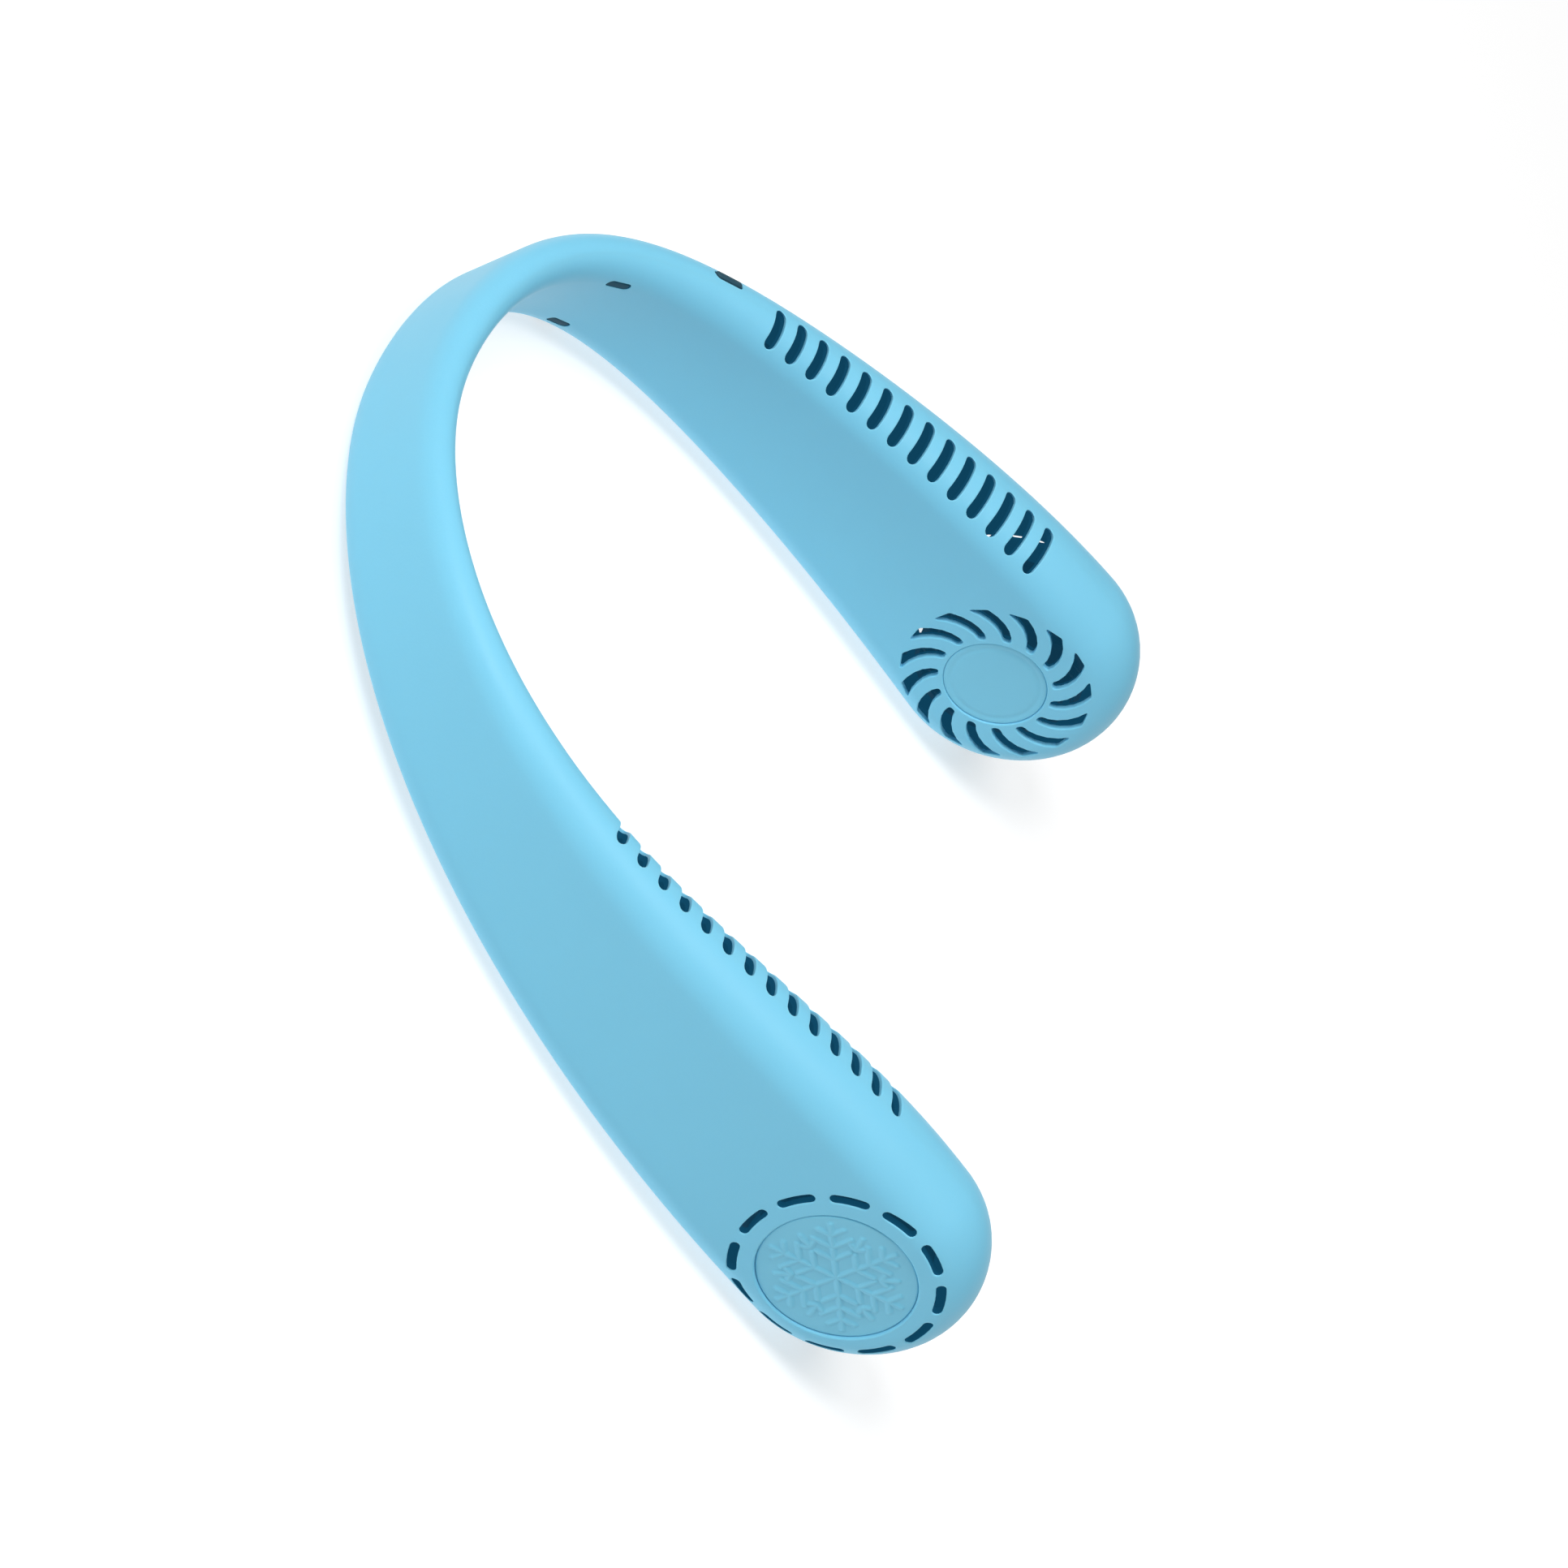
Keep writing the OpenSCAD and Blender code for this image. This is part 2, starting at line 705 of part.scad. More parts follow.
// Six-armed relief: each arm has three pairs of twigs, and short barbs stand between the arms
flake_line = 0.9;
flake_relief = 0.35;
flake_rim_w = 0.8;
twig_place_shares = [0.3, 0.5, 0.7];
twig_length_shares = [0.24, 0.27, 0.18];
arm_length_share = 0.88;
barb_place_share = 0.56;
barb_length_share = 0.2;
module bar(length) {
    translate([0, -flake_line / 2]) square([length, flake_line]);
}
module snowflake() {
    for (i = [0:5])
        rotate([0, 0, 60 * i]) {
            bar(flake_r * arm_length_share);
            for (k = [0:len(twig_place_shares) - 1], side = [-1, 1])
                translate([flake_r * twig_place_shares[k], 0])
                    rotate([0, 0, 60 * side]) bar(flake_r * twig_length_shares[k]);
            rotate([0, 0, 30])
                translate([flake_r * barb_place_share, 0]) {
                    bar(flake_r * barb_length_share);
                    for (side = [-1, 1]) rotate([0, 0, 60 * side]) bar(flake_r * barb_length_share / 2);
                }
        }
}
module snowflake_disc() {
    color(disc_blue)
        at_fan()
            translate([0, 0, seat_z + seat_t]) {
                cylinder(r = flake_r, h = flake_t, $fn = fine);
                translate([0, 0, flake_t - fit_gap])
                    linear_extrude(height = flake_relief + fit_gap) snowflake();
            }
}

module hub_disc() {
    color(disc_blue)
        at_fan()
            translate([0, 0, -face_z + hub_recess])
                cylinder(r = hub_disc_r, h = hub_disc_t, $fn = fine);
}

// Fan wheel: a sleeve over the rotor cup, a web, and blades joined by two end rings
web_t = 1;
ring_w = 1;
tip_in = 0.3;
blade_steps = 4;
blade_sweep = 24;
function blade_point(i, edge) =
    let (
        u = i / blade_steps,
        r = wheel_r - tip_in - (blade_depth - tip_in) * (1 - u),
        a = blade_sweep * pow(u, 1.6) + edge * blade_t / 2 / r * 180 / PI)
    [r * cos(a), r * sin(a)];
module impeller() {
    outline = concat(
        [for (i = [0:blade_steps]) blade_point(i, -1)],
        [for (i = [blade_steps:-1:0]) blade_point(i, 1)]);
    color(wheel_grey)
        at_fan() {
            difference() {
                translate([0, 0, hub_low]) cylinder(r = hub_r, h = rotor_high - hub_low, $fn = fine);
                translate([0, 0, cup_low]) cylinder(r = cup_r, h = rotor_high - cup_low + over, $fn = fine);
            }
            translate([0, 0, hub_low])
                linear_extrude(height = web_t)
                    difference() {
                        circle(r = wheel_r - ring_w, $fn = fine);
                        circle(r = cup_r, $fn = fine);
                    }
            for (i = [0:blade_count - 1])
                rotate([0, 0, i * 360 / blade_count])
                    translate([0, 0, wheel_low + web_t / 2])
                        linear_extrude(height = wheel_high - wheel_low - web_t) polygon(outline);
            for (z = [wheel_low, wheel_high - web_t])
                translate([0, 0, z])
                    linear_extrude(height = web_t)
                        difference() {
                            circle(r = wheel_r, $fn = fine);
                            circle(r = wheel_r - ring_w, $fn = fine);
                        }
        }
}

module rotor_cup() {
    color(steel)
        at_fan()
            difference() {
                translate([0, 0, cup_low]) cylinder(r = cup_r, h = rotor_high - cup_low, $fn = fine);
                translate([0, 0, cup_low + cup_plate_t]) cylinder(r = cup_in_r, h = face_z, $fn = fine);
                translate([0, 0, cup_low - over]) cylinder(r = shaft_r, h = face_z, $fn = fine);
            }
}
module magnet_ring() {
    color(magnet_black)
        at_fan()
            translate([0, 0, cup_low + cup_plate_t])
                difference() {
                    cylinder(r = cup_in_r, h = rotor_high - cup_low - cup_plate_t, $fn = fine);
                    translate([0, 0, -over]) cylinder(r = magnet_in_r, h = face_z, $fn = fine);
                }
}
module shaft() {
    color(steel)
        at_fan() translate([0, 0, cup_low]) cylinder(r = shaft_r, h = base_low - run_gap - cup_low, $fn = fine);
}
module bearing() {
    color(brass_tone)
        at_fan()
            translate([0, 0, tube_low])
                difference() {
                    cylinder(r = bearing_r, h = base_low - tube_low, $fn = fine);
                    translate([0, 0, -over])
                        cylinder(r = shaft_r + shaft_play, h = base_low - tube_low + 2 * over, $fn = fine);
                }
}
module motor_base() {
    color(dark_plastic)
        at_fan()
            difference() {
                union() {
                    translate([0, 0, base_low]) cylinder(r = base_r, h = base_t, $fn = fine);
                    translate([0, 0, tube_low]) cylinder(r = tube_r, h = base_low - tube_low + base_t / 2, $fn = fine);
                }
                translate([0, 0, tube_low - over])
                    cylinder(r = bearing_r, h = base_low - tube_low + over, $fn = fine);
                motor_screw_holes(base_low - over, base_t + 2 * over);
            }
}
module motor_screws() {
    color(steel)
        both_sides()
            at_fan()
                for (i = [0:motor_screw_count - 1])
                    rotate([0, 0, i * 360 / motor_screw_count])
                        translate([motor_screw_ring, 0, base_low]) {
                            cylinder(r = screw_r, h = motor_screw_l, $fn = fine);
                            translate([0, 0, -screw_head_h]) cylinder(r = screw_head_r, h = screw_head_h, $fn = fine);
                        }
}

// Stator core: a ring with T-shaped teeth, and a winding on each tooth
tooth_count = 6;
tooth_w = 1.8;
tooth_head_t = 1;
tooth_head_angle = 44;
core_ring_t = 1;
coil_w = 0.7;
module stator() {
    color(core_grey)
        at_fan()
            translate([0, 0, stator_low])
                linear_extrude(height = stator_t)
                    difference() {
                        union() {
                            circle(r = tube_r + core_ring_t, $fn = fine);
                            for (i = [0:tooth_count - 1])
                                rotate([0, 0, i * 360 / tooth_count]) {
                                    translate([tube_r, -tooth_w / 2])
                                        square([stator_r - tooth_head_t / 2 - tube_r, tooth_w]);
                                    tooth_head();
                                }
                        }
                        circle(r = tube_r, $fn = fine);
                    }
}
module tooth_head() {
    spread = 2 * stator_r;
    intersection() {
        difference() {
            circle(r = stator_r, $fn = fine);
            circle(r = stator_r - tooth_head_t, $fn = fine);
        }
        polygon([
            [0, 0],
            [spread * cos(tooth_head_angle / 2), -spread * sin(tooth_head_angle / 2)],
            [spread * cos(tooth_head_angle / 2), spread * sin(tooth_head_angle / 2)]]);
    }
}
module coils() {
    in_r = tube_r + core_ring_t + fit_gap;
    side = tooth_w / 2 + fit_gap;
    out_r = sqrt(pow(stator_r - tooth_head_t - fit_gap, 2) - pow(side + coil_w, 2));
    color(copper)
        at_fan()
            for (i = [0:tooth_count - 1])
                rotate([0, 0, i * 360 / tooth_count])
                    translate([in_r, 0, stator_low + stator_t / 2])
                        rotate([0, 90, 0])
                            linear_extrude(height = out_r - in_r)
                                difference() {
                                    square([stator_t + 2 * coil_over, 2 * (side + coil_w)], center = true);
                                    square([stator_t + 2 * fit_gap, 2 * side], center = true);
                                }
}

// The board has an ear that carries the switch under the power button
module control_board() {
    color(board_green)
        difference() {
            at_board()
                difference() {
                    translate([0, board_y - board_t / 2, board_low]) {
                        translate([-board_l / 2, 0, 0]) cube([board_l, board_t, board_h]);
                        translate([ear_x - ear_l / 2, 0, 0]) cube([ear_l, board_t, paddle_h]);
                    }
                    for (x = [-1, 1])
                        translate([x * board_screw_x, board_y + board_t, board_screw_z])
                            rotate([90, 0, 0]) cylinder(r = screw_r + fit_gap, h = 2 * board_t, $fn = fine);
                }
            at_button()
                translate([-paddle_h, -paddle_h, switch_low - fit_gap])
                    cube([2 * paddle_h, 2 * paddle_h, 2 * paddle_h]);
        }
}
module board_bosses() {
    at_board()
        for (x = [-1, 1])
            translate([x * board_screw_x, board_y + board_t / 2, board_screw_z])
                rotate([-90, 0, 0]) cylinder(r = boss_r, h = paddle_t, $fn = small_fine);
}
board_screw_l = 4;
module board_screw_holes() {
    at_board()
        for (x = [-1, 1])
            translate([x * board_screw_x, board_y - board_t / 2, board_screw_z])
                rotate([-90, 0, 0])
                    cylinder(r = screw_r + fit_gap, h = board_screw_l + fit_gap, $fn = small_fine);
}
module board_screws() {
    color(steel)
        at_board()
            for (x = [-1, 1])
                translate([x * board_screw_x, board_y - board_t / 2, board_screw_z])
                    rotate([-90, 0, 0]) {
                        cylinder(r = screw_r, h = board_screw_l, $fn = fine);
                        translate([0, 0, -screw_head_h]) cylinder(r = screw_head_r, h = screw_head_h, $fn = fine);
                    }
}

module usb_c_socket() {
    color(steel)
        usb_place()
            translate([0, 0, usb_sink]) {
                difference() {
                    plug(usb_w, usb_t, usb_l);
                    translate([0, 0, -over])
                        plug(usb_w - 2 * usb_skin, usb_t - 2 * usb_skin, usb_l - usb_skin + over);
                }
                translate([-usb_tongue_w / 2, -usb_tongue_t / 2, usb_skin])
                    cube([usb_tongue_w, usb_tongue_t, usb_l - usb_skin]);
            }
}

module button_switch() {
    color(dark_plastic)
        at_button()
            difference() {
                translate([-switch_l / 2, -switch_w / 2, switch_low]) cube([switch_l, switch_w, switch_h]);
                translate([0, 0, switch_high - plunger_sink - button_travel - slide_gap])
                    cylinder(r = plunger_r + fit_gap, h = switch_h, $fn = fine);
            }
}
module switch_plunger() {
    color(steel)
        at_button() translate([0, 0, button_low - plunger_l]) cylinder(r = plunger_r, h = plunger_l, $fn = fine);
}
module power_button() {
    color(dark_plastic)
        at_button()
            translate([0, 0, button_low]) {
                plug(button_l + 2 * button_flange, button_w, button_flange_t);
                plug(button_l, button_w, button_proud - button_low);
            }
}

module light(s, angle) {
    color(smoked) on_skin(s, angle) translate([0, 0, -wall - light_sink]) plug(light_l, light_w, wall);
}

// Cable along the band between two distances from the nape's middle, below zero on the right arm
cable_d = 2.2;
cable_sides = 8;
lead_gap = 0.6;
cell_end = guide_start + guide_t + fit_gap - lead_gap;
board_end = board_l / 2 + lead_gap;
module cable(from, to, steps) {
    stops = [for (i = [0:steps]) from + (to - from) * i / steps];
    rings = [for (s = stops)
        let (c = centre(abs(s)), d = direction(abs(s)), side = s < 0 ? -1 : 1)
        [for (j = [0:cable_sides - 1])
            let (
                a = 360 * j / cable_sides,
                y = cable_d / 2 * cos(a),
                z = cable_d / 2 * sin(a))
            [side * (c[0] - y * d[1]), c[1] + y * d[0], base_z(abs(s)) + nape_h / 2 + z]]];
    m = cable_sides;
    faces = concat(
        [[for (j = [m - 1:-1:0]) j]],
        [for (i = [0:steps - 1], j = [0:m - 1])
            let (k = (j + 1) % m)
            each [
                [i * m + j, (i + 1) * m + k, (i + 1) * m + j],
                [i * m + j, i * m + k, (i + 1) * m + k]]],
        [[for (j = [0:m - 1]) steps * m + j]]);
    color(cable_black) polyhedron(points = [for (r = rings) each r], faces = faces, convexity = 4);
}

outer_shell();
inner_shell();
on_side(-1) snowflake_disc();  // snowflake_disc_right
on_side(1) snowflake_disc();  // snowflake_disc_left
on_side(-1) hub_disc();  // hub_disc_right
on_side(1) hub_disc();  // hub_disc_left
on_side(-1) impeller();  // impeller_right
on_side(1) impeller();  // impeller_left
on_side(-1) rotor_cup();  // rotor_cup_right
on_side(1) rotor_cup();  // rotor_cup_left
on_side(-1) magnet_ring();  // magnet_ring_right
on_side(1) magnet_ring();  // magnet_ring_left
on_side(-1) shaft();  // shaft_right
on_side(1) shaft();  // shaft_left
on_side(-1) bearing();  // bearing_right
on_side(1) bearing();  // bearing_left
on_side(-1) motor_base();  // motor_base_right
on_side(1) motor_base();  // motor_base_left
on_side(-1) stator();  // stator_right
on_side(1) stator();  // stator_left
on_side(-1) coils();  // coils_right
on_side(1) coils();  // coils_left
motor_screws();
on_side(-1) air_guide();  // air_guide_right
on_side(1) air_guide();  // air_guide_left
on_side(-1) battery();  // battery_right
on_side(1) battery();  // battery_left
control_board();
board_screws();
usb_c_socket();
button_switch();
switch_plunger();
power_button();
light(light_s, light_angle);  // status_light
light(charge_s, charge_angle);  // charge_light
cable(board_s - board_end, -cell_end, 28);  // nape_cable
cable(cell_end, board_s + board_end, 3);  // cell_lead
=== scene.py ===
import json
import math

import bmesh
import bpy
import numpy as np
from mathutils import Matrix, Vector
from mathutils.bvhtree import BVHTree
from mathutils.interpolate import poly_3d_calc


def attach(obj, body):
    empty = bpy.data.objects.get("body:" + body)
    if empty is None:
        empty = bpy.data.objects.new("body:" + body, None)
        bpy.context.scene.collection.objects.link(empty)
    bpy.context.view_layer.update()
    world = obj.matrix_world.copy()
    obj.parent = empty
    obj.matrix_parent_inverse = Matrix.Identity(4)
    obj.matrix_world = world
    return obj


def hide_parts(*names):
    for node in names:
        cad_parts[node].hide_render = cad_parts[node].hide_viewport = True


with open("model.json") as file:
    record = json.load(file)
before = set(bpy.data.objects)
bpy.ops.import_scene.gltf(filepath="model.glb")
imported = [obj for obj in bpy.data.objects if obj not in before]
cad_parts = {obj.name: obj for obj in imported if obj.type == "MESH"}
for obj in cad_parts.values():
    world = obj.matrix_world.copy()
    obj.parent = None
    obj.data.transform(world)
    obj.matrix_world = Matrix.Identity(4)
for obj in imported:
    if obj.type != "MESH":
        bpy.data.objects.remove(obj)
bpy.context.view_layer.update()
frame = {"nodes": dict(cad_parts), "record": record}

MM = 0.001

# Sizes in millimetres and angles in degrees. Those of the openings, the button and the
# windows follow the photograph more closely than the solids do; the rest are the source's.
ARM_SPREAD, REACH, NAPE_LEAD, ARM_LEAD = 93.4, 170.8, 59.8, 52.1
ELBOW_OUT, ELBOW_DROP = 1.3, 32.0
NAPE_H, PADDLE_H, NAPE_T, PADDLE_T = 25.8, 55.4, 9.0, 26.8
NAPE_ROUND, PADDLE_ROUND = 5.9, 9.8
ARCH_RISE, ARCH_PEAK, ARCH_POWER = 3.0, 0.28, 2.0
ARM_LEAN, LEAN_PEAK, LEAN_POWER = 1.9, 0.77, 3.7
HEIGHT_POWER, THICK_POWER = 1.19, 1.38
WALL, SEAM_IN = 2.0, 1.0
OUTLET_COUNT, OUTLET_PITCH, OUTLET_W, OUTLET_GAP = 14, 6.25, 2.9, 24.5
OUTLET_HIGH, OUTLET_LOW, OUTLET_MORE, OUTLET_LIFT = 7.0, 54.0, 3.1, 1.05
VENT_DROP, VENT_BACK = 1.6, 1.1
DASH_R, DASH_W, DASH_COUNT, DASH_TURN, DASH_FILL = 21.7, 2.1, 12, 12.0, 0.74
SWEPT_COUNT, SWEPT_OUT_R, SWEPT_ANGLE, SWEPT_TURN = 15, 21.3, 22.0, 16.0
SWEPT_IN_W, SWEPT_OUT_W = 1.8, 4.6
FLAKE_R, FLAKE_T, FLAKE_RECESS = 16.9, 1.4, 0.6
HUB_DISC_R, HUB_DISC_T, HUB_RECESS = 11.4, 1.2, 0.4
FIT_GAP, SLIDE_GAP, SEAT_T, HUB_WALL = 0.15, 0.25, 1.5, 1.0
HUB_SEAT_R = HUB_DISC_R + FIT_GAP + HUB_WALL
BUTTON_BACK, BUTTON_L, BUTTON_W, BUTTON_PROUD = 8.2, 7.6, 2.0, 0.4
BUTTON_OUT = 2.6
LIGHT_BACK, CHARGE_BACK, LIGHT_L, LIGHT_W = 37.1, 31.5, 6.6, 2.0
LIGHT_ANGLE, CHARGE_ANGLE, LIGHT_SINK = 84.0, 100.0, 0.1
USB_W, USB_T = 8.94, 3.26

NAPE_Y = (NAPE_T / 2 + REACH + PADDLE_H / 2) / 2 - NAPE_T / 2
PADDLE_R = PADDLE_H / 2
FACE_X = PADDLE_T / 2


# The band's form
PATH = np.array([
    [0, NAPE_Y],
    [NAPE_LEAD, NAPE_Y],
    [ARM_SPREAD + ELBOW_OUT, NAPE_Y - ELBOW_DROP],
    [ARM_SPREAD, NAPE_Y - REACH + ARM_LEAD],
    [ARM_SPREAD, NAPE_Y - REACH],
])
TABLE_STEPS = 96


def bezier(points, t):
    """Points of the curve with these control points."""
    n = len(points) - 1
    t = np.asarray(t, float)[..., None]
    return sum(math.comb(n, k) * (1 - t) ** (n - k) * t ** k * points[k] for k in range(n + 1))


CURVE = bezier(PATH, np.linspace(0, 1, TABLE_STEPS + 1))
RUN = np.concatenate([[0], np.cumsum(np.linalg.norm(np.diff(CURVE, axis=0), axis=1))])
ARM_LEN = RUN[-1]
GUIDE_START = ARM_LEN - OUTLET_GAP - OUTLET_COUNT * OUTLET_PITCH
BUTTON_S = GUIDE_START - BUTTON_BACK
LIGHT_S = GUIDE_START - LIGHT_BACK
CHARGE_S = GUIDE_START - CHARGE_BACK


def share_along(s):
    """The curve's own parameter at a length s along the band from the nape."""
    return np.interp(min(s, ARM_LEN), RUN, np.linspace(0, 1, TABLE_STEPS + 1))


def centre(s):
    """The middle line in plan; past the arm's end it runs straight on."""
    return bezier(PATH, share_along(s)) + np.array([0, -max(s - ARM_LEN, 0)])


def direction(s):
    d = bezier(np.diff(PATH, axis=0), share_along(s))
    return d / np.linalg.norm(d)


def swell(s, low, high, power):
    """A size that grows smoothly from the nape to the paddle."""
    v = min(s / ARM_LEN, 1) ** power
    return low + (high - low) * v * v * (3 - 2 * v)


def half_h(s):
    return swell(s, NAPE_H, PADDLE_H, HEIGHT_POWER) / 2


def half_t(s):
    return swell(s, NAPE_T, PADDLE_T, THICK_POWER) / 2


def rounding(s):
    return swell(s, NAPE_ROUND, PADDLE_ROUND, HEIGHT_POWER)


def peak_share(s, top, power):
    """A soft hump that is nought at both ends and one at the share `top` of the arm."""
    u = min(s / ARM_LEN, 1)
    return (u / top) ** power * ((1 - u) / (1 - top)) ** (power * (1 / top - 1))


def mid_z(s):
    return ARCH_RISE * peak_share(s, ARCH_PEAK, ARCH_POWER) + half_h(s)


def lean(s, up):
    """How far the section leans over at a height from its middle."""
    return -ARM_LEAN * peak_share(s, LEAN_PEAK, LEAN_POWER) * up / half_h(s)


def place(s, across, up, side=1):
    """A point of the section at s: across out of the neck space, up from mid height."""
    c, d = centre(s), direction(s)
    across = across + lean(s, up)
    return Vector((side * (c[0] - across * d[1]), c[1] + across * d[0], mid_z(s) + up))


def skin(s, angle):
    """A point of the left arm's skin, at an angle from the top rim down the inner face."""
    low = abs(angle) > 90
    a = math.radians(180 - abs(angle) if low else abs(angle))
    across = half_t(s) * math.sin(a)
    up = half_h(s) - rounding(s) * (1 - math.cos(a))
    return place(s, -across if angle > 0 else across, -up if low else up)


def columns(s, inset, side, corner, flat):
    """One casing half's section, seam to seam, as [across, up]; side 1 is the outer half."""
    t, h, r = half_t(s) - inset, half_h(s) - inset, rounding(s) - inset
    edges = []
    for way in (1, -1):
        start = math.asin((-SEAM_IN - lean(s, way * h)) / t) * side
        edge = []
        for k in range(corner + 1):
            a = start + (math.pi / 2 - start) * k / corner
            edge.append((side * t * math.sin(a), way * (h - r * (1 - math.cos(a)))))
        edges.append(edge)
    middle = [(side * t, (h - r) * (1 - 2 * k / flat)) for k in range(1, flat)]
    return edges[0] + middle + edges[1][::-1]


# How finely the skin is divided: along an arm, round a paddle's end, and in a section
ARM_STATIONS = 132
TURN_STEPS = 40
CORNER, FLAT = 14, 10
CAVITY_CORNER, CAVITY_FLAT = 8, 4


def layer(bm, side, inset, corner, flat, material, flip):
    """A skin or cavity surface of one casing half. Returns its seam as a closed loop."""
    stations = [ARM_LEN * i / ARM_STATIONS for i in range(ARM_STATIONS + 1)]
    arms = [(-1, s) for s in reversed(stations[1:])] + [(1, s) for s in stations]
    rows = []
    for hand, s in arms:
        section = columns(s, inset, side, corner, flat)
        rows.append([bm.verts.new(place(s, x, y, hand)) for x, y in section])
    quads = [(a[j], a[j + 1], b[j + 1], b[j])
             for a, b in zip(rows, rows[1:]) for j in range(len(a) - 1)]
    half = corner + flat // 2
    ends = {}
    for hand in (-1, 1):
        row = rows[-1] if hand == 1 else rows[0]
        section = columns(ARM_LEN, inset, side, corner, flat)
        spokes = [row[:half + 1]]
        for i in range(1, TURN_STEPS):
            q = math.pi * i / TURN_STEPS
            spoke = []
            for x, y in section[:half]:
                c = place(ARM_LEN, x, 0, hand)
                spoke.append(bm.verts.new(c + Vector((0, -y * math.sin(q), y * math.cos(q)))))
            spokes.append(spoke + [row[half]])
        spokes.append(list(reversed(row[half:])))
        for a, b in zip(spokes, spokes[1:]):
            for j in range(half):
                corners = [a[j], a[j + 1], b[j + 1], b[j]]
                if a[j + 1] == b[j + 1]:
                    corners = [a[j], a[j + 1], b[j]]
                quads.append(tuple(corners if hand == 1 else reversed(corners)))
        ends[hand] = [spoke[0] for spoke in spokes]
    for q in quads:
        face = bm.faces.new(reversed(q) if flip else q)
        face.material_index = material
        face.smooth = True
    top = [row[0] for row in rows]
    bottom = [row[-1] for row in rows]
    return top + ends[1][1:-1] + bottom[::-1] + ends[-1][1:-1][::-1]


# The casing's material slots: uncut skin, cavity, and the walls of the cuts near and below
# their edge. The markers keep them apart through the booleans. The cavity and the deeper
# walls take a dark finish that is painted shade.
SKIN, INSIDE, CUT, SHADED_DEEP = 0, 1, 2, 3
MARKERS = [bpy.data.materials.new("marker_" + n) for n in ("skin", "inside", "cut", "deep")]
# Points that are this near each other are one
WELD = 1e-4


def mark(obj):
    for marker in MARKERS:
        obj.data.materials.append(marker)


def casing_half(side):
    """Half of the casing as a closed shell, before anything is cut in it."""
    bm = bmesh.new()
    outer = layer(bm, side, 0, CORNER, FLAT, SKIN, side == 1)
    inner = layer(bm, side, WALL, CAVITY_CORNER, CAVITY_FLAT, INSIDE, side != 1)
    for i in range(len(outer)):
        j = (i + 1) % len(outer)
        face = bm.faces.new((outer[i], outer[j], inner[j], inner[i]))
        face.material_index = INSIDE
    bmesh.ops.recalc_face_normals(bm, faces=bm.faces)
    mesh = bpy.data.meshes.new("casing_half")
    bm.to_mesh(mesh)
    bm.free()
    return mesh


def whole_skin():
    """The band's uncut skin, for placing what is cut in it and for its smooth normals."""
    bm = bmesh.new()
    for side in (-1, 1):
        layer(bm, side, 0, CORNER, FLAT, SKIN, side == 1)
    bmesh.ops.remove_doubles(bm, verts=bm.verts, dist=WELD)
    bmesh.ops.recalc_face_normals(bm, faces=bm.faces)
    bm.verts.ensure_lookup_table()
    bm.faces.ensure_lookup_table()
    bm.normal_update()
    return bm


SKIN_BM = whole_skin()
SKIN_TREE = BVHTree.FromBMesh(SKIN_BM)


def skin_normal(point):
    """The uncut skin's smooth normal nearest to a point."""
    spot, _, index, _ = SKIN_TREE.find_nearest(point)
    face = SKIN_BM.faces[index]
    weights = poly_3d_calc([v.co for v in face.verts], spot)
    n = sum((v.normal * w for v, w in zip(face.verts, weights)), Vector())
    return n.normalized()


# Cutters that follow the skin
class Seat:
    """A flat frame off the skin: u and v across it, w out of it."""

    def __init__(self, origin, u, w):
        self.o, self.w = Vector(origin), Vector(w).normalized()
        self.v = self.w.cross(Vector(u)).normalized()
        self.u = self.v.cross(self.w)

    def point(self, u, v, w=0.0):
        return self.o + self.u * u + self.v * v + self.w * w

    def height(self, u, v, reach=12.0):
        """The skin's height over the frame there, or nought where it has none."""
        hit = SKIN_TREE.ray_cast(self.point(u, v, reach), -self.w, 2 * reach)
        return reach - hit[3] if hit[0] is not None else 0.0


def skin_seat(s, angle, turned=False):
    """A seat on the left arm's skin: u along the arm, or down the section if turned."""
    step, tilt = 0.5, 1.0
    along = (skin(s + step, angle) - skin(s - step, angle)).normalized()
    down = (skin(s, angle + tilt) - skin(s, angle - tilt)).normalized()
    out = down.cross(along).normalized()
    return Seat(skin(s, angle), down if turned else along, out)


def fan_seat(outwards):
    """The frame of the left paddle's fan: u to -Z and v to +Y outwards, as in the source."""
    o = Vector((ARM_SPREAD + outwards * FACE_X, NAPE_Y - REACH + VENT_BACK, PADDLE_R - VENT_DROP))
    seat = Seat(o, (0, 0, -1), (outwards, 0, 0))
    seat.v = Vector((0, 1, 0))
    return seat


def grown(outline, by, blunt=0.5):
    """A closed outline moved outwards by a distance, corner by corner.

    A sharp corner moves by no more than the distance divided by `blunt`."""
    n = len(outline)
    onward = outline[1:] + outline[:1]
    area = sum(x0 * y1 - x1 * y0 for (x0, y0), (x1, y1) in zip(outline, onward))
    turn = 1 if area > 0 else -1
    out = []
    for i in range(n):
        p, q, r = (Vector(outline[(i + k) % n]) for k in (-1, 0, 1))
        a, b = (q - p).normalized(), (r - q).normalized()
        na, nb = Vector((a.y, -a.x)) * turn, Vector((b.y, -b.x)) * turn
        m = (na + nb).normalized()
        out.append(q + m * (by / max(m.dot(na), blunt)))
    return [(p.x, p.y) for p in out]


# The steps of a rounded edge in degrees, how far over the skin it starts, and how far over
# the skin a cutter reaches
FILLET_STEPS, LEAD, CLEAR = (22, 38, 54, 72, 90), 0.08, 2.5


